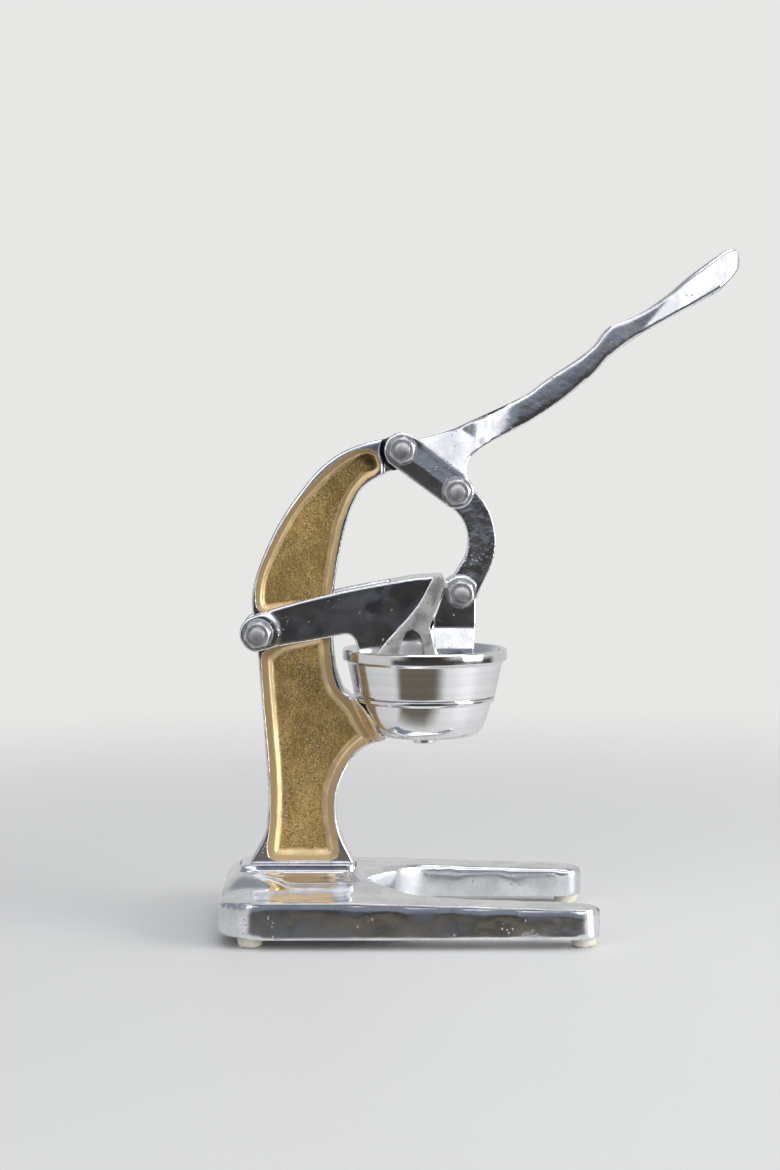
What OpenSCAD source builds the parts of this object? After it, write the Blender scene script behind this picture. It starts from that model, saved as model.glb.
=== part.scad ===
// Lever citrus press in cast aluminium.
// Millimetres, +Z up, +X towards the operator's end, Y across. Working frame: X = 0 is the
// axis of the cup. seat() then moves the whole press so that its origin is the middle of its
// outline on the table.

/* [Base] */
// Distance from the cup axis back to the rear of the base
base_rear = 123.5; // [118:0.5:130]
// Distance from the cup axis forward to the leg ends
base_front = 101.5; // [96:0.5:108]
// Width of the base over both legs
base_w = 160; // [150:1:170]
// Width of one leg
leg_w = 27; // [24:1:30]
// Height of the base at the column
base_top = 28; // [26:0.5:30]
// Height of the legs at their front ends
leg_front_top = 23.5; // [21:0.5:25]
// Wall of the hollow casting
base_wall = 5; // [4:0.5:6]
// Height of the feet
foot_h = 6; // [5:0.5:7]
// Radius of a foot under the leg
foot_r = 7.8; // [7:0.1:8.5]
// Distance across between the centres of the feet
foot_span = 133; // [128:1:136]

/* [Column] */
// Height of the face that the column stands on
plinth_top = 39.4; // [37:0.2:41]
// Thickness of the column
column_t = 26; // [24:1:28]
// Depth of the painted panels
panel_depth = 3.2; // [2:0.1:4]
// Thickness of the tongue that carries the handle
tongue_t = 13; // [12:0.5:13]

/* [Cup and bowl] */
// Height of the cup rim
rim_z = 169.4; // [168:0.2:172]
// Radius over the cup rim
rim_r = 50; // [49:0.5:52]
// Height of the seam between the cup and the bowl
seam_z = 140.8; // [139:0.2:142]
// Radius of the bowl at its lip
lip_r = 42.6; // [42:0.2:44]
// Height of the underside of the bowl
bowl_z = 116.2; // [114:0.2:118]
// Radius of the holes in the strainer
sieve_hole_r = 2.2; // [1.4:0.1:2.6]

/* [Linkage] */
// Handle pivot on the column head: distance behind the cup axis
head_x = -14; // [-15:0.5:-13]
// Handle pivot on the column head: height
head_z = 289.5; // [288:0.5:291]
// Link pivot on the handle: distance in front of the cup axis
crank_x = 19; // [18:0.5:20]
// Link pivot on the handle: height
crank_z = 264.5; // [263:0.5:266]
// Link pivot on the press arm: distance in front of the cup axis
fork_x = 21.5; // [21:0.5:22]
// Link pivot on the press arm: height
fork_z = 203.5; // [203:0.5:204]
// Press arm pivot on the column: distance behind the cup axis
arm_x = -100.5; // [-101:0.5:-100]
// Press arm pivot on the column: height
arm_z = 179.5; // [179:0.5:180]
// Thickness of the link
link_t = 13; // [12:0.5:13]
// Width over the forks of the handle and the press arm
fork_w = 26; // [25:0.5:27]
// Width over the cheeks of the press arm
cheek_w = 40; // [39:0.5:41]

/* [Bolts] */
// Radius of the pivot bolts
bolt_r = 4.75; // [4:0.05:5]
// Radius over the corners of the nuts and heads
hex_r = 8.25; // [8:0.05:8.6]
// Thickness of a nut
nut_t = 8.3; // [7:0.1:9]
// Radius of the neck of the link bolt inside its fork
neck_r = 3; // [2.6:0.1:3.2]

/* [Hidden] */
$fn = 96;

// Colours
aluminium = [0.78, 0.79, 0.81];
zinc = [0.66, 0.67, 0.69];
rubber = [0.90, 0.88, 0.82];

// Pivot centres as [x, z]
head_p = [head_x, head_z];
crank_p = [crank_x, crank_z];
fork_p = [fork_x, fork_z];
arm_p = [arm_x, arm_z];

// The handle tip and the rear of the base bound the press from front to back
tip_x = 190;
mid_x = (tip_x - base_rear) / 2;

run = 0.05;               // running clearance round a pivot bolt
side_gap = 0.3;           // gap each side of a tongue in its fork
face_gap = 0.1;           // gap between a washer and a part that turns under it
washer_t = 1.5;
washer_r = 9.2;
head_t = 6;
bolt_end = 2.4;           // bolt end standing out of its nut

slot_w = tongue_t + 2 * side_gap;
head_eye_r = 10.9;        // ears and tongue at the head pivot
head_recess_r = 13.2;     // hollow in the column that the ears turn in
cradle_t = 2.5;           // thickness of the cradle that hugs the bowl
crank_eye_r = 10.3;
link_eye_r = 10.6;
arm_eye_r = 11.2;
arm_boss_r = 10.2;

foot_rear_x = -103.4;
foot_front_x = 91.7;
foot_screw_r = 2;
foot_head_r = 3;

column_bolt_x = [-92, -60];
column_bolt_r = 4;
column_bolt_top = 64;
roof_z = 21;              // roof of the pads that the column bolts bear on
hollow_h = 12.5;          // height of the hollow under the base
foot_boss_r = 6.5;
foot_bore_h = 13;
rib_x = [-20, 40];        // ribs across the hollow of each leg
over = 60;                // longer than any cut needs

bowl_screw_y = 6;
bowl_screw_z = 127;
bowl_screw_r = 2;
bowl_screw_l = 18;
bowl_pad_x = -31;         // flat inside the bowl that the screw heads bear on

// Points along an arc of a circle
function arc(c, r, a0, a1, n = 12) =
    [for (i = [0:n]) let (a = a0 + (a1 - a0) * i / n) [c[0] + r * cos(a), c[1] + r * sin(a)]];

// A point of the smooth curve through p[i] and p[i + 1]
function knot(p, i, t) =
    let (a = p[max(i - 1, 0)], b = p[i], c = p[i + 1], d = p[min(i + 2, len(p) - 1)])
    b + 0.5 * t * ((c - a) + t * (2 * a - 5 * b + 4 * c - d + t * (3 * (b - c) + d - a)));

// A smooth curve through a few points
function curve(p, n = 5) =
    [for (i = [0:len(p) - 2]) for (k = [0:n - 1]) knot(p, i, k / n), p[len(p) - 1]];

// Moves the press from the cup axis to its own origin
module seat() {
    translate([-mid_x, 0, 0]) children();
}

// Extrudes an outline drawn in X and Z from y0 to y1
module slab(y0, y1) {
    translate([0, y1, 0]) rotate([90, 0, 0]) linear_extrude(y1 - y0) children();
}

// A round bar across the press from y0 to y1 through p = [x, z]
module bar(p, r, y0, y1) {
    translate([p[0], y1, p[1]]) rotate([90, 0, 0]) cylinder(h = y1 - y0, r = r);
}

// ---- base ----

module at_feet() {
    for (y = [-1, 1]) for (x = [foot_rear_x, foot_front_x]) translate([x, y * foot_span / 2, 0]) children();
}

module rounded_box(x0, x1, w, z0, z1, r) {
    translate([0, 0, z0]) linear_extrude(z1 - z0) {
        translate([x0 + r, -w / 2]) square([x1 - x0 - 2 * r, w]);
        translate([x0, -w / 2 + r]) square([x1 - x0, w - 2 * r]);
        for (x = [x0 + r, x1 - r]) for (y = [-1, 1]) translate([x, y * (w / 2 - r)]) circle(r);
    }
}

// Outline of the base seen from above; inset shrinks it by the wall
module base_plan(inset = 0) {
    rear_r = 26;
    gap = base_w / 2 - leg_w;
    half = base_w / 2 - inset;
    round_x = -base_rear + rear_r;
    end_x = base_front - leg_w / 2;
    edge = [[16, gap], [0, gap - 3], [-14, gap - 12], [-24, gap - 25], [-32, gap - 41], [-35, 0]];
    difference() {
        union() {
            translate([round_x, -half]) square([end_x - round_x, 2 * half]);
            translate([-base_rear + inset, -half + rear_r - inset])
                square([rear_r, 2 * half - 2 * rear_r + 2 * inset]);
            for (y = [-1, 1]) {
                translate([round_x, y * (base_w / 2 - rear_r)]) circle(rear_r - inset);
                translate([end_x, y * (base_w - leg_w) / 2]) circle(leg_w / 2 - inset);
            }
        }
        polygon([for (y = [1, -1]) let (c = curve(edge, 4), m = len(c))
                each [for (i = [0:m - 1]) let (p = y > 0 ? c[i] : c[m - 1 - i])
                    [p[0] - inset, y * (p[1] + (p[1] > 0 ? inset : 0))]]]);
        translate([edge[0][0] - 1 - inset, -gap - inset]) square([base_front, 2 * gap + 2 * inset]);
    }
}

module base_side() {
    slab(-base_w, base_w) polygon([[-base_rear - 1, foot_h], [base_front + 1, foot_h],
        [base_front + 1, leg_front_top], [-45, base_top], [-base_rear + 16, base_top],
        [-base_rear - 1, base_top - 3]]);
}

module base() {
    plinth_x = [-112, -42.5];
    plinth_w = 36;
    seat() color(aluminium) difference() {
        union() {
            intersection() {
                linear_extrude(over) base_plan();
                base_side();
            }
            rounded_box(plinth_x[0] - 6, plinth_x[1] + 5, plinth_w + 16, foot_h + 6, base_top + 2.4, 9);
            rounded_box(plinth_x[0] - 3, plinth_x[1] + 2, plinth_w + 7, foot_h + 6, base_top + 5, 7);
            rounded_box(plinth_x[0], plinth_x[1], plinth_w, base_top, plinth_top, 5);
            intersection() {
                linear_extrude(over) base_plan();
                slab(-50, 50) polygon([[-base_rear, foot_h], [-base_rear, base_top - 3],
                    [plinth_x[0] - 2, base_top + 5.4], [plinth_x[0] + 2, base_top + 6.4],
                    [plinth_x[0] + 28, base_top + 1], [plinth_x[0] + 28, foot_h]]);
                translate([-base_rear - 1, 0, 0]) rotate([90, 0, 90]) linear_extrude(50)
                    polygon([[-50, foot_h], [-50, base_top - 2], [-22, base_top + 8], [22, base_top + 8],
                        [50, base_top - 2], [50, foot_h]]);
            }
        }
        difference() {
            translate([0, 0, foot_h - 1]) linear_extrude(hollow_h) base_plan(base_wall);
            at_feet() cylinder(h = over, r = foot_boss_r);
            for (y = [-1, 1]) for (x = rib_x) translate([x, y * foot_span / 2, 0])
                cube([base_wall, leg_w, over], center = true);
            for (x = column_bolt_x) translate([x, 0, foot_h]) cylinder(h = over, r = 13);
        }
        for (x = column_bolt_x) translate([x, 0, foot_h - 1]) {
            cylinder(h = over, r = column_bolt_r + run);
            cylinder(h = roof_z - foot_h + 1, r = washer_r + 0.4);
        }
        at_feet() translate([0, 0, foot_h - 1]) cylinder(h = foot_bore_h, r = foot_screw_r + run);
    }
}

// ---- column ----

// Outline of the column, drawn from the foot up the rear edge and down the front edge
module column_outline() {
    rear_edge = [[-106.5, plinth_top], [-101.3, 48.6], [-97, 58], [-95.4, 72], [-95.4, 88],
        [-97, 114], [-99.2, 145], [-101.6, 172]];
    back = [[-104.6, 196], [-104, 205.6], [-100.7, 217.6], [-95.9, 229.7], [-90.2, 241.7], [-83, 253.7],
        [-74.3, 265.7], [-64.7, 277.2], [-56, 284.6], [-46.9, 290], [-36, 294], [-25.5, 296.3]];
    throat = [[-25.5, 275], [-33.1, 270.5], [-38.5, 265.7], [-43.9, 255.5], [-47.6, 244.7],
        [-50.6, 232.7], [-53.3, 217.6], [-55.2, 205], [-55.9, 190], [-55.6, 176], [-54.8, 166.4],
        [-53.2, 156.5], [-49.4, 145.4], [-46.5, 142.6]];
    shelf = [[-30, seam_z - 0.6], [-22, 116], [-24.5, 113.8]];
    front_edge = [[-29.7, 113], [-36.4, 110.4], [-41, 106.2], [-45.2, 101.2], [-48.4, 95.8], [-51, 90],
        [-53.2, 83], [-54, 75], [-53.5, 66.6], [-51.6, 57.6], [-48.6, 50.4], [-43.4, plinth_top]];
    polygon(concat(curve(rear_edge), curve(back), curve(throat), shelf, curve(front_edge)));
}

module upper_panel() {
    polygon(concat(
        curve([[-97, 191.4], [-100.8, 195], [-101.8, 200]]),
        curve([[-101.6, 206], [-99.9, 214.6], [-96.5, 223.6], [-92.2, 232.7], [-87.5, 241.7], [-82.3, 250.7],
            [-76, 259.7], [-68.2, 268.7], [-59.5, 277.2], [-52.5, 282.9], [-46, 287], [-39.6, 289.6]]),
        curve([[-34.4, 290], [-30, 287.8], [-28.4, 284.6], [-27.4, 281], [-27.8, 278], [-30, 275.4]]),
        curve([[-34.6, 272.8], [-39.2, 268.2], [-42.8, 262.9], [-45.9, 256.7], [-48.2, 250.7],
            [-50.3, 244.7], [-52.9, 232.6], [-54.5, 223.6], [-55.8, 214.6], [-57, 205.5], [-57.6, 196]])));
}

module lower_panel() {
    polygon(concat(
        [[-90, 172.6], [-84, 175], [-70, 178], [-58.6, 180.4]],
        curve([[-58, 168.4], [-57.2, 161.4], [-56.3, 154.5], [-54.8, 148.9], [-52.2, 144.4], [-48.6, 140.6],
            [-45.2, 136.8], [-42, 132.4], [-38.9, 126.6], [-35.6, 120.8], [-32.8, 116.8]]),
        curve([[-34, 114.4], [-38.6, 111.6], [-42.8, 107.6], [-47, 102.6], [-50.4, 97.2], [-53.1, 91],
            [-55.2, 84], [-56, 76], [-55.5, 66.6], [-54, 57], [-52.8, 48]]),
        curve([[-53.4, 44], [-57.4, 41.8]]),
        curve([[-90, 41.8], [-94, 44], [-95, 48.6]]),
        curve([[-94.4, 54], [-93.3, 64], [-93, 78], [-93.2, 91.7], [-94, 105.6], [-95.2, 119.6],
            [-96.3, 133.6], [-97.4, 148], [-98.3, 163]]),
        [[-97.6, 166.8], [-95, 168.6]]));
}

// Wings of the column that hug the near and far sides of the bowl
module cradle() {
    outline = [[13, seam_z + 0.2], [18.6, 136], [22, 130.5], [23.6, 125], [22.8, 119], [19, 114.6],
        [10, 112.6]];
    intersection() {
        bowl_body(cradle_t);
        rotate([90, 0, 90]) translate([0, 0, -60]) linear_extrude(40)
            polygon(concat(outline, [for (i = [len(outline) - 1:-1:0]) [-outline[i][0], outline[i][1]]]));
        slab(-30, 30) polygon([[-60, 112.8], [-29.7, 112.8], [-24.4, 115.4], [-22, 120], [-22, 141],
            [-60, 141]]);
    }
}

module column() {
    cup_room_r = 47;          // room for the cup behind its wall
    cup_room_h = 12;
    half = column_t / 2;
    panel_floor = half - panel_depth;
    seat() color(aluminium) difference() {
        union() {
            difference() {
                slab(-half, half) column_outline();
                bar(head_p, head_recess_r, -half - 1, half + 1);
            }
            slab(-tongue_t / 2, tongue_t / 2) polygon(concat(arc(head_p, head_eye_r, 96, -72, 16),
                [[-22, 276.6], [-27, 273.6], [-32, 280], [-32, 293], [-24, 296.4]]));
            bar(arm_p, arm_boss_r, -half, half);
            cradle();
        }
        for (side = [-1, 1]) {
            slab(side > 0 ? panel_floor : -half - 1, side > 0 ? half + 1 : -panel_floor) {
                upper_panel();
                lower_panel();
            }
        }
        bar(head_p, bolt_r + run, -half, half);
        bar(arm_p, bolt_r + run, -half - 1, half + 1);
        for (x = column_bolt_x) translate([x, 0, plinth_top - 1])
            cylinder(h = column_bolt_top - plinth_top + 3, r = column_bolt_r + run);
        bowl_body(0.05);
        translate([0, 0, seam_z - 0.5]) cylinder(h = cup_room_h, r = cup_room_r);
        at_bowl_screws() translate([-bowl_screw_l - 8, 0, 0]) rotate([0, 90, 0])
            cylinder(h = 40, r = bowl_screw_r + run);
    }
}

// ---- bowl under the cup ----

module at_bowl_screws() {
    for (y = [-1, 1]) translate([bowl_pad_x, y * bowl_screw_y, bowl_screw_z]) children();
}

// Round corner between the floor and the wall of the bowl
corner_x = 27;
corner_r = 9;

// The bowl as a filled turned body, grown by g
module bowl_body(g = 0) {
    corner = arc([corner_x, bowl_z + corner_r], corner_r + g, -90, -14, 8);
    rotate_extrude($fn = 128) polygon(concat([[0, bowl_z - 4.6], [7.2, bowl_z - 4.6], [7.2, bowl_z - g]],
        corner, [[lip_r - 1.2 + g, seam_z - 3.6], [lip_r + g, seam_z - 3], [lip_r + g, seam_z - 0.5],
        [0, seam_z - 0.5]]));
}

module bowl() {
    wall = 3;
    floor_top = bowl_z + wall - 0.6;
    mouth_r = 39.6;
    drain_r = 4.5;
    seat() color(aluminium) difference() {
        union() {
            difference() {
                bowl_body();
                rotate_extrude($fn = 128) polygon(concat([[0, floor_top], [drain_r, floor_top]],
                    arc([corner_x, bowl_z + corner_r], corner_r - wall, -90, -14, 8),
                    [[mouth_r, seam_z - 4], [mouth_r, seam_z], [0, seam_z]]));
            }
            intersection() {
                bowl_body();
                translate([bowl_pad_x - 12, -12, bowl_z + 1]) cube([12, 24, 16]);
            }
        }
        translate([0, 0, bowl_z - 10]) cylinder(h = 20, r = drain_r);
        at_bowl_screws() translate([-bowl_screw_l - 8, 0, 0]) rotate([0, 90, 0])
            cylinder(h = 40, r = bowl_screw_r + run);
    }
}

// ---- strainer cup ----

sieve_rings = 2;
sieve_pitch = 11.5;
strainer_floor_z = 134;   // lowest point of the inside

module sieve_hole() {
    translate([0, 0, strainer_floor_z - 10]) cylinder(h = 30, r = sieve_hole_r, $fn = 24);
}

module strainer() {
    spigot_r = 39.2;
    spigot_foot_r = 36.4;
    floor_t = 2.5;
    dish_r = 66;              // radius of the dished floor
    inner_foot_r = 38.5;
    dish_rise = dish_r - sqrt(dish_r * dish_r - inner_foot_r * inner_foot_r);
    dish_a = asin(inner_foot_r / dish_r);
    under_a = asin(spigot_foot_r / (dish_r + floor_t));
    dish_c = [0, strainer_floor_z + dish_r];
    seat() color(aluminium) difference() {
        rotate_extrude($fn = 128) polygon(concat(
            arc(dish_c, dish_r + floor_t, -90, -90 + under_a, 6),
            [[spigot_foot_r, seam_z - 3.4], [spigot_r, seam_z - 3.4], [spigot_r, seam_z], [lip_r, seam_z],
            [lip_r + 0.5, seam_z + 1.2], [47.2, rim_z - 8.2], [rim_r - 0.8, rim_z - 7],
            [rim_r - 0.4, rim_z - 6.2], [rim_r, rim_z - 1], [rim_r - 0.8, rim_z], [47.4, rim_z],
            [46.6, rim_z - 1], [44.4, rim_z - 10], [40.6, strainer_floor_z + dish_rise + 2.6]],
            arc(dish_c, dish_r, -90 + dish_a, -90, 6)));
        sieve_hole();
        for (ring = [1:sieve_rings]) for (k = [0:6 * ring - 1])
            rotate([0, 0, 360 * k / (6 * ring) + 15 * ring])
                translate([sieve_pitch * ring, 0, 0]) sieve_hole();
    }
}

// ---- handle ----

module handle_outline() {
    top = curve([[-2.9, 296.3], [8, 299.2], [18.2, 302.6], [27.3, 307], [39.4, 312.4], [56.3, 320.6],
        [64.2, 325], [73.2, 332], [91.9, 344.5], [102, 352.6], [107, 359.6], [111, 363.8], [116, 366],
        [123.2, 368.6], [132.8, 373.7], [146.1, 383], [158.7, 393.8], [171.9, 403.6]], 4);
    tip = curve([[179, 408.6], [183.4, 410.4], [186.6, 410], [189, 407.4], [tip_x, 403.6], [189, 399],
        [186.4, 395.2]], 4);
    bottom = curve([[176.9, 385], [167.2, 379.8], [158.8, 375], [146.2, 368.6], [129.9, 359], [119.7, 352],
        [109.4, 344.4], [101, 335], [86, 322.2], [73.3, 313.2], [60, 304.8], [50, 299.8], [39.4, 294.4],
        [31, 289], [26.4, 283.4], [25, 277.6], [26.4, 271.6]], 4);
    polygon(concat(arc(head_p, head_eye_r, 226, 68, 16), top, tip, bottom,
        arc(crank_p, crank_eye_r, 40, -132, 16)));
}

// Half the width of the handle, seen from above
module handle_plan() {
    half = fork_w / 2;
    grip = 12;
    neck = 9.6;
    side = concat([[-40, half], [24, half]],
        curve([[34, half - 0.4], [46, half - 2.2], [60, neck], [80, neck], [98, neck + 0.6],
            [112, grip - 1], [130, grip], [160, grip + 1], [176, grip + 0.6]], 4),
        curve([[183, grip - 2], [188, grip - 6], [tip_x, 0]], 4));
    m = len(side);
    polygon(concat(side, [for (i = [m - 1:-1:0]) [side[i][0], -side[i][1]]]));
}

module handle() {
    seat() color(aluminium) difference() {
        intersection() {
            slab(-20, 20) handle_outline();
            linear_extrude(500) handle_plan();
        }
        slab(-slot_w / 2, slot_w / 2) polygon(concat([[-40, 240], [-40, 320]],
            arc(head_p, head_eye_r + 0.8, 80, 10, 8), [[12.6, 274.6]],
            arc(crank_p, crank_eye_r + 0.9, 116, 20, 8), [[50, 262], [50, 240]]));
        bar(head_p, bolt_r + run, -20, 20);
        bar(crank_p, bolt_r + run, -20, 20);
    }
}

// ---- link ----

// The lower eye is bored wide round the neck of its bolt
wide_bore_r = 6.1;
wide_bore_p = fork_p + [-2.4, 1.2];

module link() {
    outer = curve([[29.2, 266], [33.6, 261.6], [37.4, 256], [40.4, 249.6], [42.4, 241], [42.9, 234],
        [42.2, 227], [40.2, 219.8], [37, 212.6], [32, 202]]);
    inner = curve([[17, 213.6], [21, 220], [24.2, 225.4], [25.7, 231], [25.8, 237], [24.5, 243.4],
        [21.4, 249.4], [16.6, 254.6]]);
    seat() color(aluminium) difference() {
        union() {
            slab(-link_t / 2, link_t / 2) polygon(concat(outer, [fork_p], inner, [crank_p]));
            bar(crank_p, crank_eye_r, -link_t / 2, link_t / 2);
            bar(fork_p, link_eye_r, -link_t / 2, link_t / 2);
        }
        bar(crank_p, bolt_r + run, -20, 20);
        bar(wide_bore_p, wide_bore_r, -20, 20);
    }
}

// ---- press arm and plunger ----

module cheek_outline() {
    top = [[-89.6, 195.2], [-72, 200], [-54.8, 204.2], [-36, 208], [-17.3, 211.4], [-6, 213.2],
        [5.4, 214]];
    diagonal = [[5.8, 211], [-2.4, 198.4], [-8.8, 189.8], [-16, 182], [-26.4, 170], [-30, 160]];
    under = [[-38.6, 162], [-40.6, 170.4], [-42.6, 176], [-46.4, 179.2], [-54, 178], [-66, 175.6],
        [-84, 172.6]];
    eye = arc(arm_p, arm_eye_r, 262, 104, 12);
    polygon(concat(eye, curve(top, 4), curve(diagonal, 4), curve(under, 4)));
}

// Ground rib in the shape of a leaning arch, at the end of each cheek
module rib_outline() {
    rear = curve([[5.6, 214], [-2.4, 199], [-8.8, 190.4], [-16, 182.4], [-27, 169.6], [-32, 160]], 4);
    arch = curve([[-13.6, 176], [-11, 181], [-7, 181.6], [-3.4, 178.4], [-1.6, 173]], 4);
    front = curve([[2.6, 184], [7.6, 196.8], [12.2, 211]], 4);
    polygon(concat(rear, [[-17, 160], [-15.6, 168]], arch, [[0, 160], [8, 160]], front, [[11, 214.4]]));
}

module plunger() {
    crown_z = 136;            // lowest point of the dome
    shoulder_r = 32;
    dome_r = 58;
    dome_a = asin(shoulder_r / dome_r);
    dome_c = [0, crown_z + dome_r];
    rotate_extrude($fn = 128) polygon(concat(arc(dome_c, dome_r, -90, -90 + dome_a, 10),
        [[34, 149], [35.4, 158], [35.4, 160.6], [34.4, 161.6], [31, 161.6], [29.6, 153], [0, 150]]));
}

// One of a pair of slabs, from in to out on each side of the middle plane
module both_sides(in, out) {
    for (side = [-1, 1]) slab(side > 0 ? in : -out, side > 0 ? out : -in) children();
}

module press_arm() {
    half = cheek_w / 2;
    cheek_in = column_t / 2 + 0.6;
    rib_in = 9;
    rib_out = half + 0.6;
    slot_x = fork_x - link_eye_r - 0.9;
    slot_z = 186.6;
    web = [[-21, 203], [-21, 210.6], [-6, 213.2], [5.4, 214], [11, 214.2], [12, 206], [4, 204]];
    rear_wall = [[-39.4, 160], [-40.2, 170], [-41.6, 175.4], [-38, 177], [-34, 172], [-30, 160],
        [-28, 150], [-31, 150]];
    middle_rib = [[-30, 150], [-34, 166], [-20, 176], [-6, 200], [6, 204], [14, 190], [14, 150]];
    block_rear = [[2.6, 168], [4.4, 184], [8, 196], [11, 206]];
    block_front = [[30.8, 205], [30.6, 186], [28.6, 160], [27.6, 150], [4, 150]];
    seat() color(aluminium) difference() {
        union() {
            both_sides(cheek_in, half) cheek_outline();
            both_sides(rib_in, rib_out) rib_outline();
            slab(-half, half) polygon(web);
            slab(-fork_w / 2, fork_w / 2)
                polygon(concat(block_rear, arc(fork_p, 11, 140, 30, 8), block_front));
            slab(-half + 1, half - 1) polygon(rear_wall);
            slab(-3, 3) polygon(middle_rib);
            plunger();
            // The feet of the ribs run down inside the plunger
            intersection() {
                translate([0, 0, 145]) cylinder(h = 30, r = 34.6);
                both_sides(rib_in, half) {
                    polygon([[-31, 150], [-32, 166], [-17, 166], [-17, 150]]);
                    polygon([[-1, 150], [-1, 166], [8, 166], [8, 150]]);
                }
            }
        }
        slab(-slot_w / 2, slot_w / 2) polygon([[slot_x, 230], [slot_x, slot_z + 3], [14, slot_z],
            [45, slot_z], [45, 230]]);
        bar(arm_p, bolt_r + run, -30, 30);
        bar(fork_p, bolt_r + run, -30, 30);
    }
}

// ---- pivot bolts, nuts and washers ----

// Shank from the far head to the near end; neck is the length of a thinner middle
module pivot_bolt(p, half, neck = 0) {
    near = -half - washer_t - nut_t - bolt_end;
    far = half + washer_t;
    seat() color(zinc) {
        difference() {
            bar(p, bolt_r, near, far + head_t / 2);
            if (neck > 0) difference() {
                bar(p, bolt_r + 1, -neck / 2, neck / 2);
                bar(p, neck_r, -neck / 2 - 1, neck / 2 + 1);
            }
        }
        translate([p[0], far + head_t, p[1]]) rotate([90, 0, 0])
            cylinder(h = head_t, r = hex_r, $fn = 6);
    }
}

module pivot_nut(p, half, turn = 0) {
    seat() color(zinc) difference() {
        translate([p[0], -half - washer_t, p[1]]) rotate([90, 0, 0]) rotate([0, 0, turn])
            cylinder(h = nut_t, r = hex_r, $fn = 6);
        bar(p, bolt_r + 0.03, -60, 0);
    }
}

module pivot_washers(p, half) {
    seat() color(zinc) difference() {
        union() {
            bar(p, washer_r, -half - washer_t, -half);
            bar(p, washer_r, half, half + washer_t);
        }
        bar(p, bolt_r + 0.1, -60, 60);
    }
}

fork_half = fork_w / 2;
cheek_half = cheek_w / 2;

module head_bolt() pivot_bolt(head_p, fork_half + face_gap);
module head_nut() pivot_nut(head_p, fork_half + face_gap, 20);
module head_washers() pivot_washers(head_p, fork_half + face_gap);
module crank_bolt() pivot_bolt(crank_p, fork_half);
module crank_nut() pivot_nut(crank_p, fork_half, 8);
module crank_washers() pivot_washers(crank_p, fork_half);
module link_bolt() pivot_bolt(fork_p, fork_half, slot_w);
module link_nut() pivot_nut(fork_p, fork_half, 40);
module link_washers() pivot_washers(fork_p, fork_half);
module arm_bolt() pivot_bolt(arm_p, cheek_half + face_gap);
module arm_nut() pivot_nut(arm_p, cheek_half + face_gap, 12);
module arm_washers() pivot_washers(arm_p, cheek_half + face_gap);

// ---- feet and hidden fasteners ----

module foot(x, side) {
    sole_r = 5.4;
    seat() color(rubber) translate([x, side * foot_span / 2, 0]) difference() {
        rotate_extrude() polygon([[0, 0], [sole_r, 0], [sole_r + 1.2, 0.8], [sole_r + 1.9, 2.4],
            [foot_r, foot_h], [0, foot_h]]);
        translate([0, 0, -1]) cylinder(h = 20, r = foot_screw_r + run);
        translate([0, 0, -1]) cylinder(h = 3.6, r = foot_head_r + 0.3);
    }
}

module foot_rear_left() foot(foot_rear_x, -1);
module foot_rear_right() foot(foot_rear_x, 1);
module foot_front_left() foot(foot_front_x, -1);
module foot_front_right() foot(foot_front_x, 1);

module foot_screws() {
    seat() color(zinc) at_feet() {
        translate([0, 0, 0.8]) cylinder(h = 1.8, r = foot_head_r);
        translate([0, 0, 2]) cylinder(h = 14, r = foot_screw_r);
    }
}

module column_bolts() {
    head_h = 5.3;
    shank_z = roof_z - washer_t - 2;
    seat() color(zinc) for (x = column_bolt_x) translate([x, 0, 0]) {
        translate([0, 0, roof_z - washer_t - head_h]) cylinder(h = head_h, r = 7.5, $fn = 6);
        translate([0, 0, shank_z]) cylinder(h = column_bolt_top - shank_z, r = column_bolt_r);
    }
}

module column_washers() {
    seat() color(zinc) for (x = column_bolt_x) translate([x, 0, roof_z - washer_t]) difference() {
        cylinder(h = washer_t, r = 8.5);
        translate([0, 0, -1]) cylinder(h = 5, r = column_bolt_r + 0.1);
    }
}

module bowl_screws() {
    seat() color(zinc) at_bowl_screws() rotate([0, 90, 0]) {
        cylinder(h = 2.2, r = 3.6);
        translate([0, 0, -bowl_screw_l]) cylinder(h = bowl_screw_l + 1, r = bowl_screw_r);
    }
}

base();
column();
bowl();
strainer();
handle();
link();
press_arm();
head_bolt();
head_nut();
head_washers();
crank_bolt();
crank_nut();
crank_washers();
link_bolt();
link_nut();
link_washers();
arm_bolt();
arm_nut();
arm_washers();
foot_rear_left();
foot_rear_right();
foot_front_left();
foot_front_right();
foot_screws();
column_bolts();
column_washers();
bowl_screws();
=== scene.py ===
"""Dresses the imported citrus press: polished castings, turned cup and bowl, painted panels."""

import math

import bmesh
import bpy
import numpy as np
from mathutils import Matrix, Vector
from mathutils.bvhtree import BVHTree
from mathutils.kdtree import KDTree


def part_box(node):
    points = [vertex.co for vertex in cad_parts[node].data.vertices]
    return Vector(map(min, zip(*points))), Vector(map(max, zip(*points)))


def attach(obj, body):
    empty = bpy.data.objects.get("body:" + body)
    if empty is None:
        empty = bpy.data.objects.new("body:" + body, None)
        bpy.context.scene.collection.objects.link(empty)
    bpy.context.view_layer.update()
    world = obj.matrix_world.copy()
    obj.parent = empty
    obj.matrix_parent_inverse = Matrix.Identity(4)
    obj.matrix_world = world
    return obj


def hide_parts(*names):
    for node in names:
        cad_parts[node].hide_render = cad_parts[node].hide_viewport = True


bl_info = {
    "name": "Lever citrus press",
    "version": (1, 0, 0),
    "blender": (4, 5, 0),
    "location": "3D View > Sidebar > Press",
    "description": "Builds the castings, turned parts, fasteners and feet of a lever citrus press",
    "category": "Object",
}

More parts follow.
